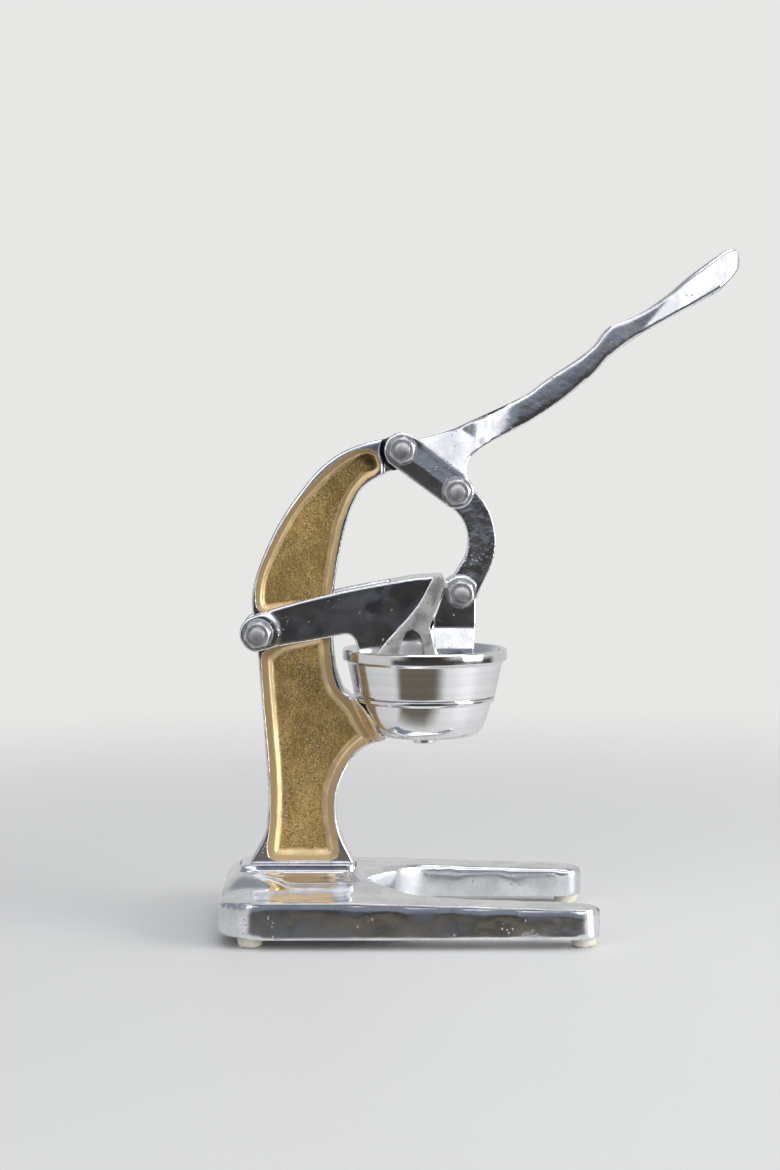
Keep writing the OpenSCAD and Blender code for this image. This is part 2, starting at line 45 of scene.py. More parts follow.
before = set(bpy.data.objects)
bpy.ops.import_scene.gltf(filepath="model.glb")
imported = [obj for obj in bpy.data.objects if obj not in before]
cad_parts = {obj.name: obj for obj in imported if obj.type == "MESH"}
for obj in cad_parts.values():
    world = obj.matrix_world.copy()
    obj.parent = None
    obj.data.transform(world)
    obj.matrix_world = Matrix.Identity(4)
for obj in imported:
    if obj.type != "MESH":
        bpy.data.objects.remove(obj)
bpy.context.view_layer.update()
MM = 0.001

# The heights and radii of the cup and the bowl are in millimetres, and what has a * MM is in metres.
CUP_LOW, CUP_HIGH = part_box("strainer")
CUP_AXIS = Vector(((CUP_LOW.x + CUP_HIGH.x) / 2, 0, 0))
CUP_HEIGHT = 28.6
RIM_Z = CUP_HIGH.z / MM
RIM_R = (CUP_HIGH.x - CUP_LOW.x) / 2 / MM
SEAM_Z = RIM_Z - CUP_HEIGHT
SEAT_R, LIP_R = 39.2, 42.6
SHARP_ANGLE = 42
BOSS_HEIGHT = 4.6
BOWL_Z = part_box("bowl")[0].z / MM + BOSS_HEIGHT
WASHER_T = 1.5 * MM
PANEL_DEPTH = 3.2 * MM
COLUMN_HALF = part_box("crank_washers")[1].y - WASHER_T


def pivot(node):
    """The middle of a pivot's axis, from its washers."""
    low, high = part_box(node)
    return Vector(((low.x + high.x) / 2, 0, (low.z + high.z) / 2))


HEAD_PIN = pivot("head_washers")
CRANK_PIN = pivot("crank_washers")
FORK_PIN = pivot("link_washers")
ARM_PIN = pivot("arm_washers")


# ---- settings ----


class PressSizes(bpy.types.PropertyGroup):
    casting_cell: bpy.props.FloatProperty(
        name="Casting cell", description="Grid size of the castings' skin", default=0.78 * MM, unit="LENGTH")
    base_cell: bpy.props.FloatProperty(
        name="Base cell", description="Grid size of the base's skin", default=1.0 * MM, unit="LENGTH")
    link_cell: bpy.props.FloatProperty(
        name="Link cell", description="Grid size of the link's skin", default=0.5 * MM, unit="LENGTH")
    border_width: bpy.props.FloatProperty(
        name="Panel border", description="Width of the sloping border round a painted panel",
        default=7.2 * MM, unit="LENGTH")
    rib_rise: bpy.props.FloatProperty(
        name="Rib rise", description="Height of the ground ribs on the press arm",
        default=0.7 * MM, unit="LENGTH")
    turning_steps: bpy.props.IntProperty(
        name="Turning steps", description="Faces round the cup and the bowl", default=256)


class PressFinishes(bpy.types.PropertyGroup):
    polished: bpy.props.FloatVectorProperty(
        name="Polished aluminium", description="Bright areas of the castings", subtype="COLOR",
        default=(0.88, 0.89, 0.91))
    cloudy: bpy.props.FloatVectorProperty(
        name="Cloudy aluminium", description="Darker, less polished patches of the castings", subtype="COLOR",
        default=(0.69, 0.70, 0.74))
    turned: bpy.props.FloatVectorProperty(
        name="Turned aluminium", description="Cup and bowl", subtype="COLOR", default=(0.88, 0.88, 0.89))
    gold_field: bpy.props.FloatVectorProperty(
        name="Gold field", description="Textured paint in the panels", subtype="COLOR",
        default=(0.42, 0.28, 0.092))
    gold_border: bpy.props.FloatVectorProperty(
        name="Gold border", description="Smooth paint round the panels", subtype="COLOR",
        default=(0.80, 0.61, 0.34))
    zinc: bpy.props.FloatVectorProperty(
        name="Zinc", description="Nuts, bolts and washers", subtype="COLOR", default=(0.72, 0.72, 0.74))
    rubber: bpy.props.FloatVectorProperty(
        name="Rubber", description="Feet", subtype="COLOR", default=(0.78, 0.74, 0.62))


class PressStage(bpy.types.PropertyGroup):
    floor: bpy.props.FloatVectorProperty(
        name="Table", description="Colour of the table", subtype="COLOR", default=(0.80, 0.80, 0.79))
    wall: bpy.props.FloatVectorProperty(
        name="Wall", description="Room behind and beside the press", subtype="COLOR",
        default=(0.62, 0.62, 0.61))
    ceiling: bpy.props.FloatVectorProperty(
        name="Ceiling", description="Room above the press", subtype="COLOR", default=(0.32, 0.33, 0.36))
    window: bpy.props.FloatVectorProperty(
        name="Window", description="Bright room high in front of the press", subtype="COLOR",
        default=(1.25, 1.25, 1.27))
    front: bpy.props.FloatVectorProperty(
        name="Front", description="Dark room in front of the press", subtype="COLOR",
        default=(0.016, 0.019, 0.028))
    haze: bpy.props.FloatVectorProperty(
        name="Haze", description="Half-lit room above the dark part", subtype="COLOR",
        default=(0.21, 0.24, 0.29))
    shade: bpy.props.FloatVectorProperty(
        name="Shade", description="Dark room below the table's level", subtype="COLOR",
        default=(0.05, 0.046, 0.045))
    # Painted shade: the ground colour is a dark glow in the table in front, seen only in reflections.
    ground: bpy.props.FloatVectorProperty(
        name="Ground", description="Dark strip in front of the press, seen only in reflections",
        subtype="COLOR", default=(0.145, 0.128, 0.100))
    ground_start: bpy.props.FloatProperty(
        name="Ground start", description="Distance of the dark strip from the cup axis", default=0.118,
        unit="LENGTH")
    lens: bpy.props.FloatProperty(
        name="Lens", description="Focal length for a 36 mm sensor", default=73.38, unit="CAMERA")


# ---- node maths ----


def maths(operation, swapped=False):
    """An operator of Wire that adds a Math node."""
    def node(self, other):
        values = (other, self) if swapped else (self, other)
        return self.graph.add("ShaderNodeMath", {"operation": operation}, dict(enumerate(values)))
    return node


class Wire:
    """A node's output. An expression on a number adds Math nodes."""

    def __init__(self, graph, socket):
        self.graph = graph
        self.socket = socket

    __add__ = maths("ADD")
    __radd__ = maths("ADD", swapped=True)
    __sub__ = maths("SUBTRACT")
    __rsub__ = maths("SUBTRACT", swapped=True)
    __mul__ = maths("MULTIPLY")
    __pow__ = maths("POWER")
    largest = maths("MAXIMUM")

    def step(self, low, high):
        """0 below low and 1 above high, with a smooth way between."""
        return self.graph.add("ShaderNodeMapRange", {"interpolation_type": "SMOOTHSTEP"},
                              {"Value": self, "From Min": low, "From Max": high})


class Graph:
    """Adds nodes to a tree and plugs them together."""

    def __init__(self, tree):
        self.tree = tree

    def add(self, kind, settings=None, values=None, out=0):
        node = self.tree.nodes.new(kind)
        for key, value in (settings or {}).items():
            setattr(node, key, value)
        for key, value in (values or {}).items():
            self.plug(node.inputs[key], value)
        return Wire(self, node.outputs[out])

    def plug(self, socket, value):
        if isinstance(value, Wire):
            self.tree.links.new(value.socket, socket)
        elif socket.is_multi_input:
            for part in value:
                self.plug(socket, part)
        elif hasattr(value, "__len__") and socket.type == "RGBA":
            socket.default_value = (*value[:3], 1)
        else:
            socket.default_value = value

    def axes(self, vector):
        """The x, y and z of a vector."""
        x = self.add("ShaderNodeSeparateXYZ", None, {0: vector})
        return [Wire(self, x.socket.node.outputs[i]) for i in range(3)]

    def vector(self, operation, *values, out=0):
        return self.add("ShaderNodeVectorMath", {"operation": operation}, dict(enumerate(values)), out)

    def distance(self, vector, centre, weights):
        """The length of a vector's offset from a centre, each axis times its weight."""
        offset = self.vector("SUBTRACT", vector, centre)
        return self.vector("LENGTH", self.vector("MULTIPLY", offset, weights), out="Value")

    def mix(self, mask, first, second):
        """The first colour where the mask is 0, and the second where it is 1."""
        return self.add("ShaderNodeMix", {"data_type": "RGBA"}, {"Factor": mask, 6: first, 7: second}, out=2)

    def camera_ray(self):
        return self.add("ShaderNodeLightPath", out="Is Camera Ray")


class Finish(Graph):
    """A material under construction. Its patterns are laid in the object's coordinates."""

    def __init__(self, name):
        self.material = bpy.data.materials.new(name)
        self.material.use_nodes = True
        super().__init__(self.material.node_tree)
        self.surface = self.tree.nodes["Principled BSDF"]
        self.place = self.add("ShaderNodeTexCoord", out="Object")

    def clouds(self, scale, detail=4, rough=0.55, warp=0.0, place=None):
        """Soft noise from 0 to 1. scale is how many clouds there are to a metre."""
        return self.add("ShaderNodeTexNoise", None,
                        {"Vector": place or self.place, "Scale": scale, "Detail": detail,
                         "Roughness": rough, "Distortion": warp})

    def strokes(self, scale, turn, detail=3, rough=0.55):
        """Clouds drawn out into lines: a scale for each axis after the turn."""
        place = self.add("ShaderNodeMapping", None, {"Vector": self.place, "Scale": scale, "Rotation": turn})
        return self.clouds(1, detail, rough, place=place)

    def attribute(self, name):
        return self.add("ShaderNodeAttribute", {"attribute_name": name}, out="Fac")

    def bump(self, height):
        """height is in metres."""
        return self.add("ShaderNodeBump", None, {"Height": height, "Distance": 1.0, "Strength": 1.0})

    def finish(self, **sockets):
        for name, value in sockets.items():
            self.plug(self.surface.inputs[name.replace("_", " ")], value)
        return self.material


def scaled(colour, *factors):
    """A colour times one factor or three, with no channel over 1."""
    return [min(1, channel * factor) for channel, factor in zip(colour, factors * 3)]


class Polish:
    """Hand-polished cast metal: clouds, grain, scratches, pits and shallow dents. patch and dent_size are
    widths, dent and wave are depths, and a higher pit_share leaves fewer pits."""

    GRIME = (0.05, 0.05, 0.055)
    GRAIN_DEPTH = 0.005 * MM
    PIT_DEPTH = 0.12 * MM

    def __init__(self, f, patch, dent, dent_size, wave=0.5 * MM, pit_share=0.60):
        clouds = f.clouds(1 / patch, detail=7, rough=0.62, warp=0.4)
        self.grain = f.clouds(900, detail=3, rough=0.6)
        scratch = f.strokes((260, 260, 3200), (0.35, 0.5, 0), detail=2, rough=0.5)
        cells = f.add("ShaderNodeTexVoronoi", None, {"Vector": f.place, "Scale": 420})
        self.pits = (1 - cells.step(0.10, 0.30)) * f.clouds(70, detail=2).step(pit_share, pit_share + 0.08)
        waves = f.clouds(46, detail=1, rough=0.4)
        dents = f.clouds(1 / dent_size, detail=2, rough=0.45)
        height = waves * wave + dents * dent + scratch * self.GRAIN_DEPTH + self.grain * self.GRAIN_DEPTH
        self.height = height - self.pits * self.PIT_DEPTH
        self.bright = (clouds + (self.grain - 0.5) * 0.3).step(0.36, 0.62)

    def colour(self, f, bright, cloudy):
        return f.mix(self.pits * 0.85, f.mix(self.bright, cloudy, bright), self.GRIME)

    def roughness(self, least):
        return least + (1 - self.bright) * 0.12 + self.grain * 0.08 + self.pits * 0.3


def polished_casting(name, finishes, patch, dent, dent_size, rough, **marks):
    """Polished casting with no paint."""
    f = Finish(name)
    polish = Polish(f, patch, dent, dent_size, **marks)
    return f.finish(Base_Color=polish.colour(f, finishes.polished, finishes.cloudy), Metallic=1.0,
                    Roughness=polish.roughness(rough), Normal=f.bump(polish.height))


def ribbed_casting(name, finishes):
    """Polished casting whose raised ribs are ground and left satin."""
    ground = (0.70, 0.69, 0.68)
    pitted = (0.20, 0.19, 0.19)
    f = Finish(name)
    polish = Polish(f, patch=16 * MM, dent=0.08 * MM, dent_size=9 * MM)
    rib = f.attribute("rib").step(0.25, 0.75)
    sanding = f.strokes((300, 60, 2600), (0, 0.5, 0))
    satin = f.mix(sanding.step(0.3, 0.7), ground, scaled(ground, 0.80))
    satin = f.mix(f.clouds(95, warp=0.6).step(0.42, 0.66), satin, scaled(ground, 0.50))
    satin = f.mix(polish.pits, satin, pitted)
    colour = f.mix(rib, polish.colour(f, finishes.polished, finishes.cloudy), satin)
    roughness = polish.roughness(0.05)
    roughness = roughness + rib * (0.50 - roughness)
    height = polish.height + rib * sanding * (0.03 * MM)
    return f.finish(Base_Color=colour, Metallic=1 - rib * 0.35, Roughness=roughness, Normal=f.bump(height))


def painted_casting(name, finishes, border_mm):
    """Polished rims round panels of textured gold paint. The inset attribute is millimetres into a panel,
    raised in the hollow at a panel's top end, which is painted dark as shade; a second attribute is 1 in the
    slot of the handle's ear, which is painted near black as shade."""
    border, field = finishes.gold_border, finishes.gold_field
    glint = (0.90, 0.76, 0.50)
    shade_black = (0.06, 0.055, 0.055)
    f = Finish(name)
    polish = Polish(f, patch=12 * MM, dent=0.10 * MM, dent_size=8 * MM)
    inset = f.attribute("inset")
    soot = f.attribute("soot")
    wobble = f.clouds(220, detail=3) - 0.5
    paint = (inset + wobble * 0.7).step(-0.85, -0.45)
    inner = (inset + wobble * 2.6).step(border_mm - 2.2, border_mm + 0.4)
    # Painted shade: the hollow at a panel's top end takes a near black-brown.
    hollow = inset.step(border_mm + 9, border_mm + 14)

    patches = f.clouds(34, detail=5, rough=0.6, warp=0.5).step(0.34, 0.68)
    # Painted glints: pale cream specks, stronger in patches, stand in for sparkle on the paint.
    shine = f.clouds(60, detail=3).step(0.42, 0.60)
    speck = f.clouds(1250, detail=2, rough=0.7).step(0.54, 0.68) * (0.35 + shine * 0.65)
    pit = f.clouds(980, detail=3, rough=0.75).step(0.36, 0.56)
    strokes = f.strokes((700, 300, 160), (0, 0.5, 0)).step(0.40, 0.66)
    sand = f.mix(patches, scaled(field, 0.62, 0.58, 0.45), scaled(field, 1.40))
    sand = f.mix(strokes * 0.45, sand, scaled(field, 1.55))
    sand = f.mix(pit, scaled(field, 0.48), sand)
    sand = f.mix(speck * 0.8, sand, glint)
    edge = f.mix(f.clouds(90).step(0.40, 0.75), scaled(border, 0.80), scaled(border, 1.18))
    second_step = (inset + wobble * 1.2).step(border_mm * 0.34, border_mm * 0.48)
    edge = f.mix(second_step, scaled(border, 0.90, 0.85, 0.74), edge)
    gold = f.mix(hollow, f.mix(inner, edge, sand), scaled(field, 0.16))
    # Painted shade: the gold field darkens towards the head pin.
    away = f.distance(f.place, HEAD_PIN, (1, 0, 1))
    head_shade = 1 - (away + wobble * (8 * MM)).step(18 * MM, 60 * MM)
    gold = f.mix(head_shade * inner * 0.62, gold, scaled(field, 0.22))
    colour = f.mix(paint, polish.colour(f, finishes.polished, finishes.cloudy), gold)
    # Painted shade: the slot of the handle's ear is painted near black.
    colour = f.mix(soot, colour, shade_black)

    gold_rough = 0.33 + inner * 0.07 + (polish.grain - 0.5) * 0.14
    roughness = polish.roughness(0.06)
    roughness = roughness + paint * (gold_rough - roughness)
    roughness = roughness + soot * (0.5 - roughness)
    lumps = f.clouds(900, rough=0.75) * (0.42 * MM)
    paint_height = inner * lumps + f.clouds(300, detail=3) * (0.08 * MM)
    height = polish.height * (1 - paint) + paint * paint_height
    return f.finish(Base_Color=colour, Metallic=1 - paint * 0.35, Roughness=roughness, Normal=f.bump(height))


def turned_aluminium(name, colour, wave=0.10 * MM):
    """Lathe-turned and polished: fine rings round the cup axis."""
    f = Finish(name)
    radius = f.distance(f.place, CUP_AXIS, (1, 1, 0))
    height = f.axes(f.place)[2]
    track = f.add("ShaderNodeCombineXYZ", None, {"X": radius, "Z": height})
    rings = f.clouds(2600, detail=3, rough=0.7, place=track)
    bands = f.clouds(240, rough=0.6, place=track)
    smears = f.clouds(38, detail=5, rough=0.6, warp=0.4)
    grain = f.clouds(1200, detail=2)
    dull = bands.step(0.35, 0.7) * 0.5 + smears.step(0.5, 0.75) * 0.25
    roughness = 0.07 + rings.step(0.45, 0.8) * 0.10 + smears.step(0.5, 0.8) * 0.08 + grain * 0.03
    relief = rings * (0.004 * MM) + bands * (0.02 * MM) + f.clouds(30, detail=1) * wave
    return f.finish(Base_Color=f.mix(dull, colour, scaled(colour, 0.80)), Metallic=1.0,
                    Roughness=roughness, Normal=f.bump(relief))


def zinc_plate(name, colour):
    """Dull plating with tool marks and a few stains."""
    stain = (0.18, 0.17, 0.16)
    f = Finish(name)
    clouds = f.clouds(260, detail=5, rough=0.65)
    grain = f.clouds(1800, detail=2)
    tool = f.strokes((900, 900, 2400), (0.6, 0.2, 0))
    tint = f.mix(clouds.step(0.35, 0.68), scaled(colour, 0.72), colour)
    tint = f.mix(f.clouds(900, detail=2).step(0.68, 0.74) * 0.5, tint, stain)
    roughness = 0.27 + clouds * 0.16 + grain * 0.08
    height = clouds * (0.05 * MM) + tool * (0.012 * MM) + grain * (0.006 * MM)
    return f.finish(Base_Color=tint, Metallic=1.0, Roughness=roughness, Normal=f.bump(height))


def moulded_rubber(name, colour):
    """Dusty rubber, darker in patches along the bottom where it meets the table."""
    low_tint = (0.28, 0.27, 0.25)
    f = Finish(name)
    dust = f.clouds(240, detail=5, rough=0.7)
    grain = f.clouds(1400, detail=3)
    tint = f.mix(dust.step(0.35, 0.75), colour, scaled(colour, 0.82))
    # Darker in patches in the bottom 1.6 mm.
    low_patches = (1 - f.axes(f.place)[2].step(0.0, 1.6 * MM)) * dust.step(0.35, 0.6)
    tint = f.mix(low_patches * 0.6, tint, low_tint)
    height = grain * (0.04 * MM) + dust * (0.08 * MM)
    return f.finish(Base_Color=tint, Roughness=0.46 + grain * 0.22, Normal=f.bump(height), IOR=1.48)


# ---- mesh helpers ----


def new_piece(name, mesh):
    piece = bpy.data.objects.new(name, mesh)
    bpy.context.scene.collection.objects.link(piece)
    return piece


def dress(piece, body, slot, material, *nodes):
    """Gives a finished mesh its material, and puts it in place of its CAD nodes."""
    piece.data.materials.clear()
    piece.data.materials.append(material)
    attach(piece, body)
    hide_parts(*nodes)
    return piece


def applied(piece):
    """Turns a piece with its modifiers into its plain mesh."""
    graph = bpy.context.evaluated_depsgraph_get()
    mesh = bpy.data.meshes.new_from_object(piece.evaluated_get(graph))
    piece.modifiers.clear()
    piece.data = mesh
    return piece


def closed_piece(name, shell):
    """A piece made from a closed bmesh, with its faces outwards."""
    bmesh.ops.recalc_face_normals(shell, faces=shell.faces)
    mesh = bpy.data.meshes.new(name)
    shell.to_mesh(mesh)
    shell.free()
    return new_piece(name, mesh)


def merged_copy(node):
    """A closed copy of a CAD node's mesh."""
    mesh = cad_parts[node].data.copy()
    shell = bmesh.new()
    shell.from_mesh(mesh)
    bmesh.ops.remove_doubles(shell, verts=shell.verts, dist=0.002 * MM)
    shell.to_mesh(mesh)
    shell.free()
    mesh.materials.clear()
    return mesh


def rows_of(items, name, width=3, kind=np.float32):
    """One property of a mesh's vertices or edges, as an array with a row for each."""
    rows = np.empty((len(items), width), kind)
    items.foreach_get(name, rows.ravel())
    return rows


def points_of(mesh):
    return rows_of(mesh.vertices, "co").astype(float)


def set_points(mesh, co):
    mesh.vertices.foreach_set("co", co.astype(np.float32).ravel())
    mesh.update()


def soften(mesh, rounding, cell, share=None):
    """Rounds edges to about the given size. share is how much of it each vertex takes."""
    co = points_of(mesh)
    a, b = rows_of(mesh.edges, "vertices", 2, np.int32).T
    n = len(co)
    count = np.bincount(a, minlength=n) + np.bincount(b, minlength=n)
    weight = 0.5 * (np.ones(n) if share is None else share)[:, None]
    for _ in range(max(1, round((2 * rounding / cell) ** 2))):
        total = np.stack([np.bincount(a, co[b, i], n) + np.bincount(b, co[a, i], n) for i in range(3)], 1)
        co += weight * (total / count[:, None] - co)
    set_points(mesh, co)


def skin(name, node, cell):
    """An even quad skin over a CAD node, as one closed mesh."""
    piece = new_piece(name, merged_copy(node))
    grid = piece.modifiers.new("Skin", "REMESH")
    grid.mode = "VOXEL"
    grid.voxel_size = cell
    grid.use_smooth_shade = True
    return applied(piece)


def smooth(mesh, angle=None):
    """Shades a mesh smooth, apart from edges sharper than an angle in degrees."""
    mesh.shade_smooth()
    if angle is not None:
        mesh.set_sharp_from_angle(angle=math.radians(angle))


class FlatOutline:
    """The outline of a CAD node's flat faces at one distance from the middle plane, seen along Y."""

    SPACING = 0.3 * MM
    NEAR = 0.02 * MM

    def __init__(self, node, level):
        mesh = merged_copy(node)
        shell = bmesh.new()
        shell.from_mesh(mesh)
        flats = [face for face in shell.faces
                 if abs(face.normal.y) > 0.99 and face.normal.y * face.calc_center_median().y > 0
                 and abs(abs(face.calc_center_median().y) - level) < self.NEAR]
        inside = set(flats)
        border = []
        for face in flats:
            for edge in face.edges:
                if any(other not in inside for other in edge.link_faces):
                    a, b = (Vector((v.co.x, 0, v.co.z)) for v in edge.verts)
                    steps = max(1, int((b - a).length / self.SPACING))
                    border += [a.lerp(b, i / steps) for i in range(steps + 1)]
        points = [v.co.copy() for face in flats for v in face.verts]
        triangles = [(3 * i, 3 * i + 1, 3 * i + 2) for i in range(len(points) // 3)]
        self.faces = BVHTree.FromPolygons(points, triangles)
        self.edge = KDTree(len(border))
        for i, point in enumerate(border):
            self.edge.insert(point, i)
        self.edge.balance()
        shell.free()
        bpy.data.meshes.remove(mesh)

    def depth(self, co, reach):
        """Distance in from the outline at each point, negative outside, within +-reach."""
        result = np.empty(len(co))
        for i, (x, y, z) in enumerate(co):
            side = 1 if y > 0 else -1
            gap = self.edge.find(Vector((x, 0, z)))[2]
            hit = self.faces.ray_cast(Vector((x, side * 0.1 * MM, z)), Vector((0, side, 0)))[0]
            result[i] = min(gap, reach) if hit else -min(gap, reach)
        return result


def set_attribute(mesh, name, values):
    """Keeps a number for each vertex, for a material to read."""
    layer = mesh.attributes.new(name, "FLOAT", "POINT")
    layer.data.foreach_set("value", values.astype(np.float32))


def ramp(value, start, end):
    """0 up to the start and 1 from the end on, smooth between. The end may be below the start."""
    t = np.clip((value - start) / (end - start), 0, 1)
    return t * t * (3 - 2 * t)


def from_cup(co):
    """Places in millimetres: along from the cup's axis, away from the middle plane, and up."""
    return (co[:, 0] - CUP_AXIS.x) / MM, np.abs(co[:, 1]) / MM, co[:, 2] / MM


def push_in(co, distance):
    """Moves points sideways towards the middle plane."""
    co[:, 1] -= np.sign(co[:, 1]) * distance


def from_pin(co, pin):
    """Distance of each point from a pivot's axis."""
    return np.hypot(co[:, 0] - pin.x, co[:, 2] - pin.z)


def fillet(corners):
    """A closed profile with its corners rounded. Each corner is (r, z, radius)."""
    steps = 5
    longest = 0.45
    result = []
    for i, (r, z, radius) in enumerate(corners):
        here = Vector((r, z))
        if radius == 0:
            result.append(here)
            continue
        to_before = Vector(corners[i - 1][:2]) - here
        to_after = Vector(corners[(i + 1) % len(corners)][:2]) - here
        half = to_before.angle(to_after) / 2
        reach = min(radius / math.tan(half), longest * to_before.length, longest * to_after.length)
        start = here + to_before.normalized() * reach
        end = here + to_after.normalized() * reach
        for k in range(steps + 1):
            t = k / steps
            result.append(start.lerp(here, t).lerp(here.lerp(end, t), t))
    return result


def turned(name, corners, steps, centre=CUP_AXIS):
    """A closed body of revolution from corners in millimetres, about a vertical axis."""
    shell = bmesh.new()
    rings = []
    for r, z in fillet(corners):
        if r < 1e-6:
            rings.append([shell.verts.new(centre + Vector((0, 0, z * MM)))] * steps)
            continue
        angles = [2 * math.pi * k / steps for k in range(steps)]
        rings.append([shell.verts.new(centre + Vector((r * math.cos(a), r * math.sin(a), z)) * MM)
                      for a in angles])
    for i, ring in enumerate(rings):
        other = rings[(i + 1) % len(rings)]
        if ring[0] is ring[1] and other[0] is other[1]:
            continue
        for k in range(steps):
            n = (k + 1) % steps
            shell.faces.new(list(dict.fromkeys([ring[k], ring[n], other[n], other[k]])))
    return closed_piece(name, shell)


# ---- geometry nodes ----


class Growth(Graph):
    """A geometry node tree under construction."""

    def __init__(self, name):
        super().__init__(bpy.data.node_groups.new(name, "GeometryNodeTree"))
        self.tree.is_modifier = True
        self.tree.interface.new_socket("Geometry", in_out="INPUT", socket_type="NodeSocketGeometry")
        self.tree.interface.new_socket("Geometry", in_out="OUTPUT", socket_type="NodeSocketGeometry")
        self.entry = self.tree.nodes.new("NodeGroupInput")
        self.exit = self.tree.nodes.new("NodeGroupOutput")
        self.piece = Wire(self, self.entry.outputs["Geometry"])
        self.names = {}

    def size(self, name, value, kind="NodeSocketFloat"):
        """A named input of the modifier, with its default."""
        item = self.tree.interface.new_socket(name, in_out="INPUT", socket_type=kind)
        item.default_value = value
        self.names[name] = item.identifier
        return Wire(self, self.entry.outputs[name])

    def place(self, name):
        return self.size(name, (0, 0, 0), "NodeSocketVector")

    def along_z(self, z):
        return self.add("ShaderNodeCombineXYZ", None, {"Z": z})

    def moved(self, geometry, place):
        return self.add("GeometryNodeTransform", None, {"Geometry": geometry, "Translation": place})

    def spun(self, geometry, rotation):
        return self.add("GeometryNodeTransform", None, {"Geometry": geometry, "Rotation": rotation})

    def joined(self, parts):
        return self.add("GeometryNodeJoinGeometry", None, {"Geometry": parts})

    def boolean(self, operation, values):
        return self.add("GeometryNodeMeshBoolean", {"operation": operation, "solver": "EXACT"}, values)

    def realized(self, geometry):
        return self.add("GeometryNodeRealizeInstances", None, {"Geometry": geometry})

    def close(self, geometry, material):
        done = self.add("GeometryNodeSetMaterial", None,
                        {"Geometry": self.realized(geometry), "Material": material})
        self.plug(self.exit.inputs[0], done)
        return self

    def grow(self, piece, **values):
        """Runs the tree on a piece and keeps the result as its plain mesh."""
        modifier = piece.modifiers.new(self.tree.name, "NODES")
        modifier.node_group = self.tree
        for name, value in values.items():
            modifier[self.names[name.replace("_", " ")]] = value
        return applied(piece)


def fastener_tree(material):
    """Washers, chamfered nut, domed bolt end and hexagon head of one pivot, along Y through the origin."""
    g = Growth("Pivot fastener")
    place = g.place("Place")
    half = g.size("Half width", 13 * MM)
    hex_r = g.size("Hex radius", 8.25 * MM)
    nut_t = g.size("Nut thickness", 8.3 * MM)
    head_t = g.size("Head thickness", 6 * MM)
    bolt_r = g.size("Bolt radius", 4.75 * MM)
    bolt_end = g.size("Bolt end", 2.4 * MM)
    washer_r = g.size("Washer radius", 9.2 * MM)
    washer_t = g.size("Washer thickness", WASHER_T)
    turn = g.size("Turn", 0.0)
    dome, tip, thread, tip_t = 0.82, 0.5, 0.6 * MM, 0.5 * MM
    quarter = math.pi / 2

    def disc(radius, depth, low, vertices=96, top=None):
        cone = g.add("GeometryNodeMeshCone", None,
                     {"Vertices": vertices, "Side Segments": 1, "Fill Segments": 1,
                      "Radius Bottom": radius, "Radius Top": radius if top is None else top, "Depth": depth})
        return g.moved(cone, g.along_z(low))

    def hexagon(depth, low):
        """A hexagon whose corners a cone cuts back towards the top."""
        cone_foot, cone_top = 2.3, 0.80
        prism = g.spun(disc(hex_r, depth, low, vertices=6), g.along_z(turn))
        limit = disc(hex_r * cone_foot, depth, low, top=hex_r * cone_top)
        return g.boolean("INTERSECT", {"Mesh 2": [prism, limit]})

    def side(depth, end=None):
        low = half + washer_t
        parts = [disc(washer_r, washer_t, half), hexagon(depth, low)]
        if end is not None:
            high = low + depth
            parts.append(disc(bolt_r, end, high, top=bolt_r * dome))
            parts.append(disc(bolt_r - thread, tip_t, high + end, top=bolt_r * tip))
        return g.joined(parts)

    shank = disc(bolt_r, half * 2, half * -1, vertices=48)
    whole = g.joined([g.spun(side(nut_t, bolt_end), (quarter, 0, 0)), g.spun(side(head_t), (-quarter, 0, 0)),
                      g.spun(shank, (quarter, 0, 0))])
    return g.close(g.moved(whole, place), material)


def strainer_tree(material):
    """Cuts rings of drain holes through the floor of the cup."""
    g = Growth("Drain holes")
    centre = g.place("Centre")
    hole_r = g.size("Hole radius", 2.2 * MM)
    pitch = g.size("Ring pitch", 11.5 * MM)
    rings, twist, cut_depth = 3, math.radians(15), 30 * MM
    cutter = g.add("GeometryNodeMeshCylinder", None,
                   {"Vertices": 24, "Side Segments": 1, "Radius": hole_r, "Depth": cut_depth})
    groups = []
    for ring in range(rings):
        circle = g.add("GeometryNodeMeshCircle", None,
                       {"Vertices": max(3, 6 * ring), "Radius": pitch * ring})
        if ring == 0:
            circle = g.add("GeometryNodeMergeByDistance", None, {"Geometry": circle, "Distance": 0.1 * MM})
        points = g.spun(circle, (0, 0, twist * ring))
        groups.append(g.add("GeometryNodeInstanceOnPoints", None, {"Points": points, "Instance": cutter}))
    holes = g.realized(g.moved(g.joined(groups), centre))
    cut = g.boolean("DIFFERENCE", {"Mesh 1": g.piece, "Mesh 2": [holes]})
    return g.close(cut, material)


def feet_tree(material):
    """Sets the foot's own mesh at the four corners of the base."""
    g = Growth("Four feet")
    centre = g.place("Centre")
    length = g.size("Distance along", 195 * MM)
    span = g.size("Distance across", 133 * MM)
    corners = g.add("GeometryNodeMeshGrid", None,
                    {"Size X": length, "Size Y": span, "Vertices X": 2, "Vertices Y": 2})
    placed = g.add("GeometryNodeInstanceOnPoints", None,
                   {"Points": g.moved(corners, centre), "Instance": g.piece})
    return g.close(placed, material)


# ---- pieces ----


class PieceOperator:
    bl_options = {"REGISTER"}

    def settings(self):
        scene = bpy.context.scene
        return scene.press_sizes, scene.press_finishes


